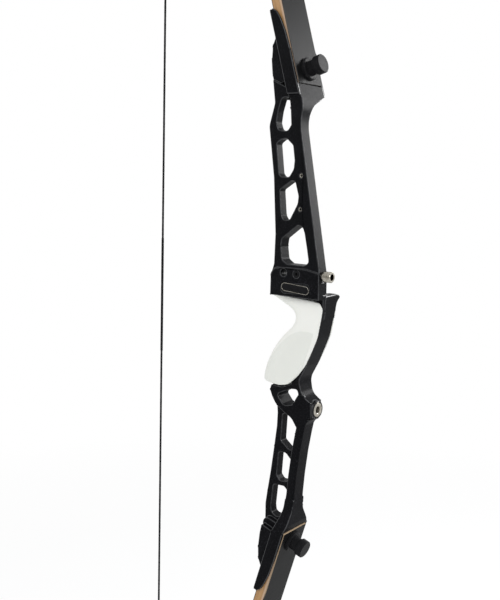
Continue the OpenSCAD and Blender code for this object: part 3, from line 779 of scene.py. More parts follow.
def mirrored(piece: Piece, name: str) -> Piece:
    """Copies a piece of the upper half into its twin of the lower half.

    Args:
        piece: the upper piece.
        name: the twin's name.

    Returns:
        The twin.
    """
    mesh = piece.data.copy()
    mesh.name = name
    mesh.transform(Matrix.Translation((0, 0, 2 * MIDDLE)) @ Matrix.Diagonal((1, 1, -1, 1)))
    mesh.flip_normals()
    return linked(name, mesh)


def round_edges(shape: Shape, chosen: set[int], width: float, segments: int) -> Shape:
    """Bevels edges of a mesh in place; the new faces get material index 1.

    Args:
        shape: the mesh.
        chosen: the indices of the edges.
        width: the bevel's width in metres.
        segments: how many strips the bevel has.

    Returns:
        The same mesh.
    """
    shape.edges.ensure_lookup_table()
    bmesh.ops.bevel(shape, geom=[shape.edges[k] for k in chosen], offset=width, offset_type="OFFSET",
                    segments=segments, profile=0.5, affect="EDGES", clamp_overlap=False, material=1,
                    loop_slide=False, vmesh_method="ADJ")
    return shape


def plate_with_shaded_bore(piece: Piece, axis: Vector, radius: float, behind: float) -> None:
    """Plates a turned piece and paints the faces of its bore with a dark shade.

    Args:
        piece: the piece, turned round a line along X.
        axis: a point of that line.
        radius: the bore's radius in millimetres.
        behind: the place x up to which the bore stays plain.
    """
    NICKEL.on(piece)
    piece.data.materials.append(BORE.material())
    # Faces inside the bore get the painted shade.
    for face in piece.data.polygons:
        out = math.hypot(face.center.y - axis.y, face.center.z - axis.z)
        face.material_index = int(out < radius * 1.01 * MM and face.center.x > behind)


def settle(piece: Piece, body: str, finish: Finish, *nodes: str) -> Piece:
    """Dresses a piece that is bare, lets it ride on its body, and hides the CAD nodes that it stands for.

    Args:
        piece: the piece.
        body: the CAD body that it rides on.
        finish: the finish that it gets if it is bare.
        nodes: the CAD nodes that it replaces.

    Returns:
        The piece.
    """
    if not piece.data.materials:
        finish.on(piece)
    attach(piece, body)
    if nodes:
        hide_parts(*nodes)
    return piece


@dataclass
class Riser:
    """The painted riser, with its bare badge and the threaded bushing under the grip."""

    bevel: float = 0.0009
    segments: int = 3
    soft_bevel: float = 0.0009 * 2.8
    soft_segments: int = 5
    # Lowest and highest place of a softer edge, and how much the face before it looks to the front.
    soft_runs: tuple[Spot, ...] = ((-0.112, -0.0118, 0.25), (0.014, 0.0855, 0.55))
    half_width: float = 0.0105
    square_angle: float = 60.0
    bevel_angle: float = 28.0
    sharp_angle: float = 36.0
    sliver: float = 0.0001
    near: float = 0.0006
    trials: int = 5
    merge: float = 8e-6
    badge_long: float = 34.4
    badge_high: float = 7.8
    badge_place: Spot = (-21.0, -22.0, 31.5)
    badge_tilt: float = 4.0
    # Rings of the badge and its line: how far outside the badge's edge, and how far behind the riser's face.
    plate_rims: tuple[Flat, ...] = ((0.0, 0.5), (0.0, -0.02), (-0.25, -0.12), (-1.4, -0.16))
    line_rims: tuple[Flat, ...] = ((0.05, 0.5), (0.05, -0.06), (0.13, -0.14), (0.42, -0.14), (0.5, -0.06),
                                   (0.5, 0.5))
    bush_radius: float = 8.15
    bush_long: float = 20.0
    bore_radius: float = 3.95
    bore_long: float = 18.0
    crest_radius: float = 3.45
    thread_pitch: float = 1.058
    thread_turns: float = 16.0
    thread_start: float = 0.0006

    def front_edges(self, shape: Shape) -> set[int]:
        """Finds the front edges of the beam under the bushing and of the neck over it, which are rounder.

        Args:
            shape: the riser's mesh.

        Returns:
            The indices of the edges.
        """
        shape.edges.ensure_lookup_table()
        chosen = set()
        for edge in shape.edges:
            if not edge.is_manifold or edge.calc_face_angle(0.0) < math.radians(self.square_angle):
                continue
            low, high = sorted(point.co.z for point in edge.verts)
            front = max(face.normal.x for face in edge.link_faces)
            side = max(abs(face.normal.y) for face in edge.link_faces) > 0.95
            soft = any(low > start and high < end and front > facing for start, end, facing in self.soft_runs)
            if soft and side and abs(abs(edge.verts[0].co.y) - self.half_width) < self.near:
                chosen.add(edge.index)
        return chosen

    def sharp_edges(self, shape: Shape) -> set[int]:
        """Finds the other edges to round, all that the bevel can take without a stray point.

        Args:
            shape: the riser's mesh.

        Returns:
            The indices of the edges.
        """
        shape.edges.ensure_lookup_table()
        shape.verts.ensure_lookup_table()
        slivers = {face.index for face in shape.faces
                   if 2 * face.calc_area() < self.sliver * max(edge.calc_length() for edge in face.edges)}
        ledge = {point.index for point in shape.verts
                 if point.co.x > 0.0 and abs(point.co.z - MIDDLE) < self.near}
        chosen = {edge.index for edge in shape.edges
                  if edge.is_manifold and edge.calc_face_angle(0.0) > math.radians(self.bevel_angle)
                  and not any(face.index in slivers for face in edge.link_faces)
                  and not all(point.index in ledge for point in edge.verts)}
        corners = self.nearest([point.co for point in shape.verts])
        for _ in range(self.trials):
            spots = []
            for a, b in ((point.co for point in shape.edges[index].verts) for index in chosen):
                count = max(1, int((b - a).length / (0.6 * self.bevel)))
                spots += [a.lerp(b, k / count) for k in range(count + 1)]
            lines = self.nearest(spots)
            trial = round_edges(shape.copy(), chosen, self.bevel, 2)
            stray = [point for point in trial.verts
                     if corners.find(point.co)[2] > 1e-7 and lines.find(point.co)[2] > 2 * self.bevel]
            blamed = {corners.find(edge.other_vert(point).co)[1]
                      for point in stray for edge in point.link_edges}
            trial.free()
            drop = {edge.index for k in blamed for edge in shape.verts[k].link_edges} & chosen
            if not drop:
                break
            chosen -= drop
        return chosen

    @staticmethod
    def nearest(spots: list[Vector]) -> KDTree:
        """Makes a search for the nearest of some points.

        Args:
            spots: the points.

        Returns:
            The search.
        """
        search = KDTree(len(spots))
        for k, spot in enumerate(spots):
            search.insert(spot, k)
        search.balance()
        return search

    def body(self) -> Piece:
        """The riser itself, whose rounded edges carry 1 in the number named edge.

        Returns:
            The piece.
        """
        shape = merged("riser", self.merge)
        bmesh.ops.dissolve_degenerate(shape, edges=shape.edges, dist=self.merge)
        bmesh.ops.recalc_face_normals(shape, faces=shape.faces)
        round_edges(shape, self.front_edges(shape), self.soft_bevel, self.soft_segments)
        for face in shape.faces:
            face.material_index = 0
        round_edges(shape, self.sharp_edges(shape), self.bevel, self.segments)
        for edge in shape.edges:
            edge.smooth = not edge.is_manifold or edge.calc_face_angle(0.0) < math.radians(self.sharp_angle)
        host = from_bmesh(shape, "riser_body_host", None)
        index = np.empty(len(host.data.polygons), np.int32)
        host.data.polygons.foreach_get("material_index", index)
        keep_number(host.data, "edge", index > 0, "FACE")
        host.data.polygons.foreach_set("material_index", np.zeros(len(index), np.int32))
        shade(host.data)
        even = host.modifiers.new("even", "WEIGHTED_NORMAL")
        even.weight, even.keep_sharp = 90, True
        return settle(plain_copy(host, "riser_body"), "frame", PAINT, "riser")

    def badge_ring(self, grow: float, out: float) -> list[Vector]:
        """Draws the badge's round-ended outline on the riser's right face.

        Args:
            grow: how many millimetres outside the badge's edge it runs.
            out: how many millimetres it lies behind the face.

        Returns:
            The outline's points.
        """
        radius = self.badge_high / 2 + grow
        half = self.badge_long / 2 - self.badge_high / 2
        tilt = math.radians(self.badge_tilt)
        points = []
        for k in range(40):
            angle = -math.pi / 2 + math.pi * (k % 20) / 19 + (math.pi if k >= 20 else 0.0)
            x = (half if k < 20 else -half) + radius * math.cos(angle)
            z = radius * math.sin(angle)
            spot = place(self.badge_place[0] + x * math.cos(tilt) + z * math.sin(tilt), self.badge_place[1],
                         self.badge_place[2] - x * math.sin(tilt) + z * math.cos(tilt))
            points.append(spot + Vector((0, out * MM, 0)))
        return points

    def badge(self) -> list[Piece]:
        """The bare badge plate and the thin bright line round it.

        Returns:
            Both pieces.
        """
        plate, line = ([self.badge_ring(*rim) for rim in rims] for rims in (self.plate_rims, self.line_rims))
        return [settle(loft(plate, "badge_plate"), "frame", LACQUER),
                settle(loft(line, "badge_line", closed=True), "frame", NICKEL)]

    def bushing(self) -> list[Piece]:
        """The stabiliser bushing and the thread in it.

        Returns:
            Both pieces.
        """
        bore, rim, deep = self.bore_radius, self.bush_radius, -self.bore_long
        profile = [(0.0, deep), (bore, deep), (bore, -0.5), (bore + 0.55, 0.0), (rim - 0.5, 0.0), (rim, -0.5),
                   (rim, -self.bush_long), (0.0, -self.bush_long)]
        ring = turned(profile, Vector(), FRONT, "bushing_ring")
        plate_with_shaded_bore(ring, Vector(), bore, -1.0)
        tree = ShapeTree("thread", BORE, Turns=self.thread_turns, Pitch=self.thread_pitch * MM,
                         Root=(bore + 0.02) * MM, Crest=self.crest_radius * MM)
        turns, pitch, root, crest = tree.given("Turns", "Pitch", "Root", "Crest")
        height = tree.times(turns, pitch)
        ridge = tree.tube(tree.coil(turns, root, height, 40), tree.minus(root, crest), 6)
        lying = tree.moved(ridge, Rotation=(0.0, math.pi / 2, 0.0))
        inward = tree.vector(tree.times(tree.plus(height, self.thread_start), -1.0))
        thread = tree.close(tree.moved(lying, Translation=inward)).run("bushing_thread")
        return [settle(ring, "frame", NICKEL, "stabiliser_bushing"), settle(thread, "frame", BORE)]

    def build(self) -> list[Piece]:
        """Makes all the riser's pieces."""
        return [self.body(), *self.badge(), *self.bushing()]


@dataclass
class Fittings:
    """The knurled sleeve on the front of the window, and the thread inserts of the two sight holes."""

    sleeve_place: Spot = (8.3, -13.5, 46.5)
    sleeve_long: float = 11.4
    sleeve_radius: float = 5.6
    sleeve_deep: float = 9.8
    root_radius: float = 3.95
    bore_radius: float = 3.5
    ridges: int = 40
    rib: float = 0.42
    sight_place: Spot = (-18.4, -21.0, 150.4)
    sight_step: float = 35.0
    sight_radius: float = 1.9

    def knurl(self) -> Piece:
        """The sleeve's knurl: slim bars set round a circle.

        Returns:
            The piece.
        """
        tree = ShapeTree("knurl", NICKEL, Ridges=self.ridges, Radius=(self.sleeve_radius - 0.2) * MM,
                         Long=(self.sleeve_long - 3.4) * MM, Rib=self.rib * MM)
        ridges, radius, long, rib = tree.given("Ridges", "Radius", "Long", "Rib")
        ring = tree.add("GeometryNodeMeshCircle", Vertices=ridges, Radius=radius).outputs[0]
        bar = tree.add("GeometryNodeMeshCube", Size=tree.vector(rib, rib, long)).outputs[0]
        index = tree.add("GeometryNodeInputIndex").outputs[0]
        angle = tree.times(tree.maths("DIVIDE", index, ridges), math.tau)
        bars = tree.add("GeometryNodeInstanceOnPoints", Points=ring, Instance=bar,
                        Rotation=tree.vector(0.0, 0.0, tree.plus(angle, math.pi / 4))).outputs[0]
        real = tree.add("GeometryNodeRealizeInstances", Geometry=bars).outputs[0]
        piece = tree.close(tree.moved(real, Rotation=(0.0, math.pi / 2, 0.0))).run("sleeve_knurl")
        middle = Vector(((1.0 + self.sleeve_long / 2) * MM, 0, 0))
        piece.data.transform(Matrix.Translation(place(*self.sleeve_place) + middle))
        shade(piece.data, 20.0)
        return settle(piece, "frame", NICKEL)

    def sleeve(self) -> Piece:
        """The sleeve itself.

        Returns:
            The piece.
        """
        start, long, deep = place(*self.sleeve_place), self.sleeve_long, -self.sleeve_deep
        rim, root, bore = self.sleeve_radius, self.root_radius, self.bore_radius
        profile = [(0.0, deep), (root, deep), (root, 0.0), (rim - 0.6, 0.0), (rim - 0.6, 1.4),
                   (rim - 0.2, 1.7), (rim - 0.2, long - 0.9), (rim - 0.7, long), (bore + 0.4, long),
                   (bore, long - 0.4), (bore, 0.6), (0.0, 0.6)]
        piece = turned(profile, start, FRONT, "sleeve_body")
        plate_with_shaded_bore(piece, start, bore, start.x + 0.5 * MM)
        return settle(piece, "frame", NICKEL, "front_sleeve")

    def insert(self, letter: str, down: float) -> Piece:
        """A bright thread insert in the mouth of a sight hole.

        Args:
            letter: the letter that tells it from the other.
            down: how far it is under the upper hole, in millimetres.

        Returns:
            The piece.
        """
        rim, (x, y, z) = self.sight_radius, self.sight_place
        profile = [(rim - 0.02, -0.2), (rim - 0.02, -2.4), (rim - 0.5, -2.4), (rim - 0.5, -0.5),
                   (rim - 0.2, -0.2)]
        piece = turned(profile, place(x, y, z - down), RIGHT, "sight_insert_" + letter, 32, closed=True)
        return settle(piece, "frame", NICKEL)

    def build(self) -> list[Piece]:
        """Makes the sleeve, its knurl and both inserts."""
        return [self.sleeve(), self.knurl(), self.insert("a", 0.0), self.insert("b", self.sight_step)]


@dataclass
class Grip:
    """The pale grip shell over the neck."""

    voxel: float = 0.0007
    rounds: int = 12
    flat_at: float = -0.0150
    step: float = 0.0006
    step_run: float = 0.0009
    arch_top: float = 0.0868
    arch_middle: float = -0.010
    arch_bend: float = 15.5
    front_foot: Flat = (-0.0095, 0.0575)
    front_head: Flat = (-0.0010, 0.0850)

    def off_facet(self, x: float, z: float) -> float:
        """Tells a point of the right side's facet from the rest of that side.

        Args:
            x: the point's place to the front, in metres.
            z: its height.

        Returns:
            0 on the facet, 1 above its arch or before its front line, and between at its rim.
        """
        over = z - self.arch_top + self.arch_bend * (x - self.arch_middle) ** 2
        (x0, z0), (x1, z1) = self.front_foot, self.front_head
        before = x - x0 - (x1 - x0) * (z - z0) / (z1 - z0)
        return min(1.0, max(0.0, over / self.step_run, before / self.step_run))

    def build(self) -> list[Piece]:
        """Makes the shell, smoothed as a moulding is, with a flat facet on its right side, which its finish
        paints a shade darker.

        Returns:
            The one piece.
        """
        host = from_bmesh(merged("grip", 2e-6), "grip_shell_host", None)
        remesh = host.modifiers.new("even", "REMESH")
        remesh.mode, remesh.voxel_size, remesh.adaptivity = "VOXEL", self.voxel, 0.0
        soft = host.modifiers.new("soft", "SMOOTH")
        soft.factor, soft.iterations = 0.5, self.rounds
        piece = plain_copy(host, "grip_shell")
        shade(piece.data)
        facet = np.zeros(len(piece.data.vertices))
        for k, point in enumerate(piece.data.vertices):
            if point.co.y < 0.3 * self.flat_at:
                off = self.off_facet(point.co.x, point.co.z)
                point.co.y = max(point.co.y, self.flat_at + self.step * off)
                facet[k] = 1.0 - off
        keep_number(piece.data, "facet", facet)
        return [settle(piece, "frame", SHELL, "grip")]


@dataclass
class Limbs:
    """Both limbs: glass, wood and glass, each one piece from butt to tip."""

    tilt: float = 16.6
    seat_rise: float = 245.0
    seat_back: float = 24.0
    nock_rise: float = 800.0
    belly: float = -232.0
    butt_width: float = 44.0
    knee_width: float = 22.0
    tip_width: float = 17.0
    butt_thick: float = 13.0
    recurve_thick: float = 6.0
    tip_thick: float = 7.0
    glass: float = 1.0
    rounding: float = 0.35
    gap: float = 0.3
    straight: float = 110.0
    curve_lift: float = 150.0
    curve_drop: float = 210.0
    knee: float = 65.0
    # The tip's curve from the knee on: out of the limb's line, and up from the nock.
    tip_curve: tuple[Flat, ...] = ((0, -35), (3, -5), (7, 22))
    tip_from: float = 10.0
    tip_top: float = 23.0
    nock_share: float = 0.735
    loop_groove: Flat = (3.2, 5.9)
    notch_corner: float = 3.0
    notch_from: Flat = (8.6, -9.0)
    notch_top: float = 3.4
    # Each hole's name, where it starts along the seat and out of it, its two ends, radius and faces round it.
    holes: tuple[tuple[str, float, float, float, float, float, int], ...] = (
        ("bolt", 16, -18, 0, 24, 4.45, 48), ("pin", 52, -7.6, -8, 0, 3.05, 32))
    taper: float = 350.0
    tip_round: float = 7.0
    # Where along the limb it starts to follow the moving body, and where it does so fully.
    bend: Flat = (96.0, 280.0)
    stations: int = 300
    crowding: float = 1.25
    line: np.ndarray = field(init=False)
    runs: np.ndarray = field(init=False)

    def __post_init__(self) -> None:
        """Draws the back line as rows of x, z and thickness in millimetres, and measures the run along it."""
        gap = self.gap / self.straight
        steps = [gap - 1 + k * (3 - gap) / 480 for k in range(481)]
        self.line = np.array([(*self.back(t), self.thick(t)) for t in steps])
        self.runs = np.concatenate([[0], np.cumsum(np.hypot(*np.diff(self.line[:, :2], axis=0).T))])

    def seat(self, s: float, n: float) -> Flat:
        """Finds a point of the limb seat.

        Args:
            s: how far it is along the limb, in millimetres.
            n: how far it is out of the seat's face.

        Returns:
            Its place x, z.
        """
        lean = math.radians(self.tilt)
        return (-self.seat_back - s * math.sin(lean) + n * math.cos(lean),
                self.seat_rise + s * math.cos(lean) + n * math.sin(lean))

    def back(self, t: float) -> Flat:
        """Finds a point of the back face.

        Args:
            t: -1 at the butt, 0 and 1 at the starts of the face's two curves, 2 at the tip.

        Returns:
            Its place x, z.
        """
        if t < 0:
            return self.seat((1 + t) * self.straight, 0)
        far, top = self.belly + self.recurve_thick, self.nock_rise
        knee = (far, top - self.knee)
        sweep = [self.seat(self.straight, 0), self.seat(self.straight + self.curve_lift, 0),
                 (far, top - self.curve_drop), knee]
        tip = [knee, *((far + out, top + up) for out, up in self.tip_curve)]
        points, u = (sweep, t) if t < 1 else (tip, t - 1)
        share = [(1 - u) ** 3, 3 * u * (1 - u) ** 2, 3 * u * u * (1 - u), u ** 3]
        return tuple(sum(k * p[i] for k, p in zip(share, points)) for i in (0, 1))

    def thick(self, t: float) -> float:
        """Reckons the limb's thickness.

        Args:
            t: the place along the limb, see back.

        Returns:
            The thickness in millimetres.
        """
        if t < 0:
            return self.butt_thick
        if t < 1:
            return self.butt_thick + (self.recurve_thick - self.butt_thick) * t * (2 - t)
        return self.recurve_thick + (self.tip_thick - self.recurve_thick) * (t - 1)

    def nock(self) -> Flat:
        """Finds the axis that the string's loop turns on.

        Returns:
            Its place x, z.
        """
        t = 1 + self.nock_share
        x, z = self.back(t)
        a, b = self.back(t + 0.004), self.back(t - 0.004)
        way = Vector((a[0] - b[0], a[1] - b[1])).normalized()
        half = self.thick(t) / 2
        return x - half * way.y, z + half * way.x

    def guide(self) -> Piece:
        """Makes a curve of the back line, whose radius is the limb's thickness.

        Returns:
            The curve.
        """
        curve = bpy.data.curves.new("limb_line", "CURVE")
        curve.dimensions = "3D"
        spline = curve.splines.new("POLY")
        spline.points.add(len(self.line) - 1)
        for point, (x, z, thick) in zip(spline.points, self.line):
            point.co = (*place(x, 0, z), 1.0)
            point.radius = thick * MM
        return linked("limb_line", curve)

    def layer_tree(self, guide: Piece) -> ShapeTree:
        """Makes the rule of a layer: a block of stations that follows the line, the plan and the thickness.

        Args:
            guide: the curve of the back line.

        Returns:
            The tree.
        """
        tree = ShapeTree(
            "limb_layer", WOOD, Line=guide, Stations=self.stations, Start_Share=0.0, Start_Offset=0.0,
            Start_Edge=0.0, End_Share=0.0, End_Offset=0.0, End_Edge=0.0, Butt_Half=self.butt_width / 2 * MM,
            Knee_Half=self.knee_width / 2 * MM, Tip_Half=self.tip_width / 2 * MM, Taper_At=self.taper * MM,
            Knee_At=(self.nock_rise - self.knee) * MM, Tip_At=(self.nock_rise - self.tip_from) * MM,
            Top_At=(self.nock_rise + self.tip_top) * MM, Tip_Round=self.tip_round * MM)
        butt_half, knee_half, tip_half = tree.given("Butt Half", "Knee Half", "Tip Half")
        taper, knee, tip, top, corner = tree.given("Taper At", "Knee At", "Tip At", "Top At", "Tip Round")
        line, stations, start_edge, end_edge = tree.given("Line", "Stations", "Start Edge", "End Edge")
        block = tree.add("GeometryNodeMeshCube", Size=(1.0, 1.0, 1.0), Vertices_X=stations, Vertices_Y=7,
                         Vertices_Z=5).outputs[0]
        u, v, w = tree.split(tree.add("GeometryNodeInputPosition").outputs[0])
        w = tree.maths("ADD", w, 0.5, True)
        left = tree.maths("SUBTRACT", 1.0, tree.maths("ADD", u, 0.5, True), True)
        info = tree.add("GeometryNodeObjectInfo", {"transform_space": "ORIGINAL"}, Object=line)
        radius = tree.add("GeometryNodeInputRadius").outputs[0]
        sample = tree.add("GeometryNodeSampleCurve", {"data_type": "FLOAT", "mode": "FACTOR"}, Value=radius,
                          Curves=info.outputs["Geometry"],
                          Factor=tree.minus(1.0, tree.maths("POWER", left, self.crowding)))
        thick, spot, way = (sample.outputs[k] for k in ("Value", "Position", "Tangent"))
        sx, _, sz = tree.split(way)
        near, far = (tree.plus(tree.times(thick, share), offset) for share, offset in (
            tree.given("Start Share", "Start Offset"), tree.given("End Share", "End Offset")))
        height = tree.minus(tree.split(spot)[2], MIDDLE)
        half = tree.spread(height, butt_half, knee_half, taper, knee)
        slim = tree.spread(height, 0.0, tree.minus(knee_half, tip_half), knee, tip)
        past = tree.maths("MAXIMUM", 0.0, tree.minus(height, tree.minus(top, corner)))
        rest = tree.maths("MAXIMUM", 0.0, tree.minus(tree.times(corner, corner), tree.times(past, past)))
        tuck = tree.minus(corner, tree.maths("SQRT", rest))
        over = tree.times(start_edge, tree.maths("POWER", tree.maths("SUBTRACT", 1.0, w, True), 3.0))
        under = tree.times(end_edge, tree.maths("POWER", w, 3.0))
        for less in (slim, tuck, over, under):
            half = tree.minus(half, less)
        down = tree.add("ShaderNodeVectorMath", {"operation": "SCALE"},
                        Vector=tree.vector(tree.times(sz, -1.0), 0.0, sx),
                        Scale=tree.spread(w, near, far, 0.0, 1.0)).outputs[0]
        side = tree.vector(0.0, tree.times(tree.times(v, 2.0), half), 0.0)
        for step in (down, side):
            spot = tree.result("ShaderNodeVectorMath", spot, step, operation="ADD")
        return tree.close(tree.add("GeometryNodeSetPosition", Geometry=block, Position=spot).outputs[0])

    def cutters(self) -> dict[str, list[Piece]]:
        """Makes the solids that are cut out of the layers.

        Returns:
            Those of the bolt's hole, of the pin's hole and of the nock, under these names.
        """
        lean = math.radians(self.tilt)
        out = Vector((math.cos(lean), 0, math.sin(lean)))
        solids = {}
        for hole, along, deep, low, high, radius, sides in self.holes:
            x, z = self.seat(along, deep)
            solids[hole] = [turned([(0, low), (radius, low), (radius, high), (0, high)], place(x, 0, z), out,
                                   "cut_" + hole, sides, smooth=None)]
        nx, nz = self.nock()
        corner, (inside, bottom), top = self.notch_corner, self.notch_from, self.notch_top
        notch = [(inside - corner * math.cos(a), bottom - corner * math.sin(a)) for a in QUARTER[::-1]]
        notch += [(inside - corner * math.cos(a), top + corner * math.sin(a)) for a in QUARTER]
        notch += [(20, 8), (20, -17)]
        solids["nock"] = []
        for sign in (1, -1):
            face = [place(nx - 20, sign * y, nz + h) for y, h in notch]
            solids["nock"].append(loft([face, [point + 40 * MM * FRONT for point in face]], "cut_nock_side",
                                       smooth=None))
        inner, outer = self.loop_groove
        corners = ((inner, -20), (inner, 20), (outer, 20), (outer, -20))
        groove = [[place(nx + r * math.cos(a), y, nz + r * math.sin(a)) for r, y in corners]
                  for a in (math.radians(-90 + 180 * k / 24) for k in range(25))]
        solids["nock"].append(loft(groove, "cut_nock_ring", smooth=None))
        return solids

    def keep_places(self, mesh: Mesh) -> None:
        """Keeps on each point its run along the limb in metres and its depth as a share of the thickness.

        Args:
            mesh: a layer's mesh.
        """
        points = np.empty(len(mesh.vertices) * 3)
        mesh.vertices.foreach_get("co", points)
        flat = (points.reshape(-1, 3)[:, ::2] - (0, MIDDLE)) / MM
        nearest = np.array([np.argmin(((self.line[:, :2] - p) ** 2).sum(1)) for p in flat])
        deep = np.hypot(*(flat - self.line[nearest, :2]).T) / self.line[nearest, 2]
        keep_number(mesh, "run", self.runs[nearest] * MM)
        keep_number(mesh, "deep", deep)

    def dress(self, piece: Piece, layer: Layer) -> None:
        """Gives a layer its finish, and its cut sides and butt end theirs.

        Args:
            piece: the layer's mesh.
            layer: which layer it is.
        """
        wooden = layer is Layer.CORE
        (WOOD if wooden else GLASS).on(piece)
        for finish in (BUTT_EDGE,) if wooden else (GLASS_EDGE, BUTT_EDGE):
            piece.data.materials.append(finish.material())
        lean = math.radians(self.tilt)
        butt_way = Vector((math.sin(lean), 0, -math.cos(lean)))
        low = self.seat_rise * MM + MIDDLE + 0.003
        for face in piece.data.polygons:
            face.material_index = 0
            if face.normal.dot(butt_way) > 0.9 and face.center.z < low:
                face.material_index = len(piece.data.materials) - 1
            elif not wooden and abs(face.normal.y) > 0.75:
                face.material_index = 1

    def join(self, piece: Piece, end: End, layer: Layer) -> Piece:
        """Bakes a layer's place into its mesh, and hides the two CAD nodes that it stands in for.

        Args:
            piece: the layer's mesh.
            end: which limb it belongs to.
            layer: which layer it is.

        Returns:
            The piece.
        """
        name = layer.name.lower()
        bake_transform(piece)
        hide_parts(f"{end.value}_butt_{name}", f"{end.value}_limb_{name}")
        return piece

    def build(self) -> list[Piece]:
        """Makes the three layers of both limbs.

        Returns:
            The six pieces.
        """
        guide, cutters = self.guide(), self.cutters()
        tree = self.layer_tree(guide)
        pieces = []
        for layer in Layer:
            name = layer.name.lower()
            faces = {}
            for face, (share, glasses, edge) in zip(("Start", "End"), layer.value):
                faces |= {face + "_Share": share, face + "_Offset": glasses * self.glass * MM,
                          face + "_Edge": edge * self.rounding * MM}
            shape = tree.run("upper_limb_" + name + "_dressed", **faces)
            shape = carve(shape, cutters["bolt"] + cutters["nock"]
                          + (cutters["pin"] if layer is not Layer.BACK_GLASS else []))
            shade(shape.data, 40.0)
            self.keep_places(shape.data)
            self.dress(shape, layer)
            twin = mirrored(shape, "lower_limb_" + name + "_dressed")
            pieces += [self.join(shape, End.UPPER, layer), self.join(twin, End.LOWER, layer)]
        for solid in [guide, *cutters["bolt"], *cutters["pin"], *cutters["nock"]]:
            bpy.data.objects.remove(solid)
        return pieces


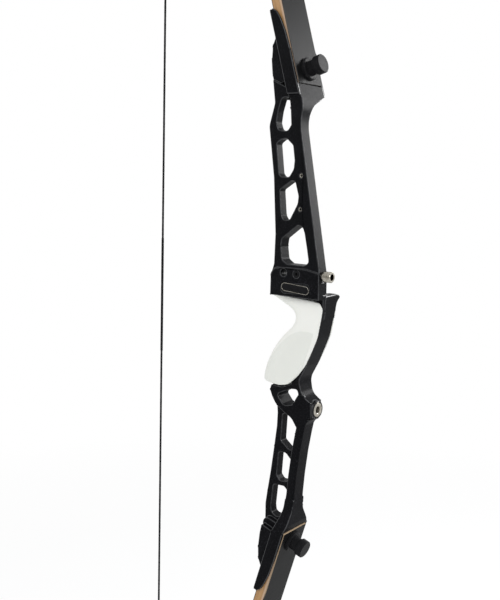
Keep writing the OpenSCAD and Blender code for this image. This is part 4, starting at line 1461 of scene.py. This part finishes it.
@dataclass
class StringHalf:
    """One half of the string: twisted strands, two servings and the loop, to the nocking place."""

    end: End
    nock: Flat
    back: float = -234.0
    neck: float = 762.0
    bundle: float = 1.3
    heart: float = 1.12
    bed: float = 1.32
    strand: float = 0.46
    strands: int = 8
    lay: float = 38.0
    serving: float = 1.6
    wire: float = 0.24
    end_serving: float = 110.0
    centre_serving: float = 70.0
    bare_from: float = 60.0
    loop: float = 0.9
    loop_lean: float = 20.0
    loop_side: float = 6.8
    loop_seat: float = 3.5

    def put(self, piece: Piece, name: str, *nodes: str) -> Piece:
        """Turns a piece drawn for the upper half into this half's, and settles it.

        Args:
            piece: the piece, drawn for the upper half.
            name: its name, without the end.
            nodes: the names of the CAD nodes that it replaces, without the end.

        Returns:
            The piece.
        """
        if self.end is End.LOWER:
            upper, piece = piece, mirrored(piece, "lower_" + name)
            bpy.data.objects.remove(upper)
        else:
            piece.name = "upper_" + name
        nodes = [f"{self.end.value}_{node}" for node in nodes]
        return settle(piece, self.end.value + "_half_string", FIBRE, *nodes)

    def twisted(self) -> Piece:
        """Makes the twisted bundle.

        Returns:
            The bundle.
        """
        tree = ShapeTree("bundle", FIBRE, From=self.bare_from * MM, To=self.neck * MM,
                         Bundle=self.bundle * MM, Strand=self.strand * MM, Strands=self.strands,
                         Lay=self.lay * MM)
        low, high, bundle, strand = tree.given("From", "To", "Bundle", "Strand")
        strands, lay = tree.given("Strands", "Lay")
        line = tree.add("GeometryNodeCurvePrimitiveLine", Start=tree.vector(0.0, 0.0, low),
                        End=tree.vector(0.0, 0.0, high))
        fine = tree.add("GeometryNodeResampleCurve", Curve=line.outputs[0], Count=240)
        many = tree.add("GeometryNodeDuplicateElements", {"domain": "SPLINE"}, Geometry=fine.outputs[0],
                        Amount=strands)
        height = tree.split(tree.add("GeometryNodeInputPosition").outputs[0])[2]
        angle = tree.plus(*(tree.times(tree.maths("DIVIDE", part, whole), math.tau) for part, whole in (
            (height, lay), (many.outputs["Duplicate Index"], strands))))
        out = tree.minus(bundle, strand)
        offset = tree.vector(*(tree.times(out, tree.maths(kind, angle)) for kind in ("COSINE", "SINE")))
        curled = tree.add("GeometryNodeSetPosition", Geometry=many.outputs[0], Offset=offset).outputs[0]
        spot = (self.back * MM, 0.0, MIDDLE)
        return tree.close(tree.moved(tree.tube(curled, strand, 6), Translation=spot)).run("bundle")

    def wrap_tree(self) -> ShapeTree:
        """Makes the rule of a serving: one thread wound close round the string.

        Returns:
            The tree.
        """
        tree = ShapeTree("serving", FIBRE, From=0.0, To=0.1, Over=self.serving * MM, Wire=self.wire * MM)
        low, high, over, wire = tree.given("From", "To", "Over", "Wire")
        height = tree.minus(high, low)
        turns = tree.maths("DIVIDE", height, tree.times(wire, 1.9))
        wound = tree.tube(tree.coil(turns, tree.minus(over, wire), height, 14), wire, 5)
        spot = tree.vector(self.back * MM, 0.0, tree.plus(low, MIDDLE))
        return tree.close(tree.moved(wound, Translation=spot))

    def rod(self, name: str, radius: float, start: float, heights: list[float], sides: int) -> Piece:
        """A plain round core of the string, with rings at some heights over its start."""
        profile = [(0.0, heights[0]), *((radius, height) for height in heights), (0.0, heights[-1])]
        return turned(profile, place(self.back, 0, start), UP, name, sides)

    def build(self) -> list[Piece]:
        """Makes the half's pieces.

        Returns:
            The seven pieces.
        """
        top, middle_top = self.neck - 2, self.centre_serving
        served = top - self.end_serving
        bundle = self.twisted()
        heart = self.rod("string_core", self.heart, 0, [0.0, 250.0, 500.0, self.neck - 1], 12)
        wrap = self.wrap_tree()
        ending = wrap.run("end_wrap", From=served * MM, To=top * MM)
        middle = wrap.run("centre_wrap", From=self.wire * MM, To=middle_top * MM)
        round_end = self.serving * 0.98
        dome = [(round_end * math.sin(a), -round_end * math.cos(a)) for a in QUARTER[1:]]
        profile = [(0.0, -round_end), *dome, (1.3, 1.0), (1.3, middle_top), (0.0, middle_top)]
        elbow = turned(profile, place(self.back, 0, 0), UP, "string_elbow", 20)
        bed = self.rod("serving_core", self.bed, served, [0.0, self.end_serving], 16)
        return [self.put(bundle, "string_strands", "string"), self.put(heart, "string_heart"),
                self.put(ending, "end_wraps", "end_serving"), self.put(bed, "end_wrap_bed"),
                self.put(middle, "centre_wraps", "centre_serving"), self.put(elbow, "nocking_elbow"),
                self.put(self.bight(), "string_loop")]

    def bight(self) -> Piece:
        """Draws the loop over the limb's nock, for the upper end.

        Returns:
            The loop.
        """
        nx, nz = self.nock
        lean = math.radians(self.loop_lean)
        y, reach = self.loop_side, self.loop_seat + self.loop
        tx, tz = nx + reach * math.cos(lean), nz + reach * math.sin(lean)
        leg = [place(self.back, 0.35, self.neck - 12), place(self.back, 0.5, self.neck - 2),
               place(self.back - 0.3, y - 0.6, 785), place(nx - 6.4, y, nz - 12),
               place(tx - 1.2, y, tz - 2.4), place(tx, y - 0.4, tz - 0.2), place(tx, y - 2.4, tz)]
        other = [Vector((p.x, -p.y, p.z)) for p in reversed(leg)]
        return hose(leg + other, self.loop * MM, "bight")


@dataclass
class Clamps:
    """What keeps its CAD shape: bolts, washers, pins, inserts, screws, plug and tip overlays."""

    black: tuple[str, ...] = ("grip_screws", "button_hole_plug", "upper_limb_bolt", "lower_limb_bolt",
                              "upper_washer", "lower_washer", "upper_tip_overlay", "lower_tip_overlay")
    bright: tuple[str, ...] = ("bolt_inserts", "locating_pins")

    def build(self) -> list[Piece]:
        """Gives each CAD node that stays its finish.

        Returns:
            The nodes' objects.
        """
        for names, finish in ((self.black, OXIDE), (self.bright, NICKEL)):
            for name in names:
                finish.on(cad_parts[name])
        return [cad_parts[name] for name in self.black + self.bright]


@dataclass
class Studio:
    """The camera of the photograph, soft lamps, a white world and a pale floor."""

    turn: float = 37.35978
    rise: float = 8.44796
    roll: float = 1.50861
    reach: float = 852.94407
    distance: float = 971.38042
    aim_x: float = 136.89886 - 234.04805
    aim_z: float = 8.73905
    film: float = 36.0
    frame_high: float = 600.0
    lit: Spot = (-0.03, 0.0, 0.1)
    # Each lamp's name, place, side and power.
    lamps: tuple[tuple[str, Spot, float, float], ...] = (
        ("sheen_lamp", (0.82, 1.42, 0.72), 0.80, 40.0), ("key_lamp", (0.7, -1.9, 1.7), 1.2, 25.0),
        ("fill_lamp", (-1.9, -1.2, 0.5), 1.2, 9.0))
    white: Colour = (1.0, 1.0, 1.0)
    cool: Colour = (0.97, 0.985, 1.0)
    soft_strength: float = 0.56
    floor_z: float = -0.7245
    floor_radius: float = 14.0
    floor_tones: tuple[Colour, Colour] = ((0.88, 0.88, 0.88), (0.90, 0.90, 0.90))

    def camera(self) -> None:
        """Sets the camera where the photograph was taken from."""
        turn, rise, roll = (math.radians(v) for v in (self.turn, self.rise, self.roll))
        right = Vector((math.cos(turn), math.sin(turn), 0))
        back = Vector((math.sin(turn) * math.cos(rise), -math.cos(turn) * math.cos(rise), math.sin(rise)))
        up = back.cross(right)
        level = math.cos(roll) * right + math.sin(roll) * up
        tall = math.cos(roll) * up - math.sin(roll) * right
        matrix = Matrix((level, tall, back)).transposed().to_4x4()
        matrix.translation = place(self.aim_x, 0, self.aim_z) + back * self.distance * MM
        camera = linked("camera", bpy.data.cameras.new("camera"))
        camera.matrix_world = matrix
        camera.data.sensor_fit, camera.data.sensor_height = "VERTICAL", self.film
        camera.data.lens = self.reach * self.film / self.frame_high
        camera.data.clip_start, camera.data.clip_end = 0.02, 100.0
        bpy.context.scene.camera = camera

    def lamp(self, name: str, spot: Spot, size: float, power: float) -> None:
        """Sets a soft square lamp that looks at the riser.

        Args:
            name: the lamp's name.
            spot: where it hangs, in metres.
            size: the length of its side.
            power: its power in watts.
        """
        light = bpy.data.lights.new(name, "AREA")
        light.shape, light.size, light.energy = "SQUARE", size, power
        way = Vector(self.lit) - Vector(spot)
        turn = way.to_track_quat("-Z", "Y").to_matrix().to_4x4()
        linked(name, light).matrix_world = Matrix.Translation(spot) @ turn

    def sky(self) -> None:
        """Makes a world that is white to look at, and lights softly."""
        world = bpy.data.worlds.new("studio")
        bpy.context.scene.world = world
        world.use_nodes = True
        graph = NodeGraph(world.node_tree)
        graph.tree.nodes.clear()
        seen = graph.result("ShaderNodeBackground", self.white)
        soft = graph.result("ShaderNodeBackground", self.cool, self.soft_strength)
        mix = graph.result("ShaderNodeMixShader", graph.straight(), soft, seen)
        graph.add("ShaderNodeOutputWorld", Surface=mix)

    def floor(self) -> None:
        """Makes a pale round floor that the lower limb's tip stands just clear of."""
        shape = bmesh.new()
        bmesh.ops.create_circle(shape, cap_ends=True, segments=96, radius=self.floor_radius,
                                matrix=Matrix.Translation((0, 0, self.floor_z)))
        piece = from_bmesh(shape, "floor", None)
        graph = ShaderGraph("floor_white")
        tone = graph.blend(graph.spread(graph.noise(3.0, 3.0)), *self.floor_tones)
        graph.plain(Base_Color=tone, Roughness=0.9, Specular_IOR_Level=0.1)
        x, y, _ = graph.split(graph.place())
        out = graph.maths("SQRT", graph.plus(graph.maths("POWER", x, 2.0), graph.maths("POWER", y, 2.0)))
        share = graph.times(graph.straight(), graph.spread(out, 0.80, 1.0, 0.9, 2.2))
        glow = graph.result("ShaderNodeEmission", self.white, 1.0)
        mix = graph.result("ShaderNodeMixShader", share, graph.shader.outputs[0], glow)
        graph.feed(graph.output.inputs["Surface"], mix)
        piece.data.materials.append(graph.material)

    def build(self) -> None:
        """Sets up camera, lamps, world and floor."""
        self.camera()
        for lamp in self.lamps:
            self.lamp(*lamp)
        self.sky()
        self.floor()
        bpy.context.scene.view_settings.view_transform = "Standard"


def main() -> None:
    """Builds the scene part by part, and reports each piece."""
    logging.basicConfig(level=logging.INFO, format="%(message)s")
    Studio().build()
    limbs = Limbs()
    halves = [StringHalf(end, limbs.nock()) for end in End]
    for part in (Riser(), Fittings(), Grip(), limbs, *halves, Clamps()):
        for piece in part.build():
            LOG.info("%s: %s, %d faces", type(part).__name__, piece.name, len(piece.data.polygons))


if __name__ == "__main__":
    main()
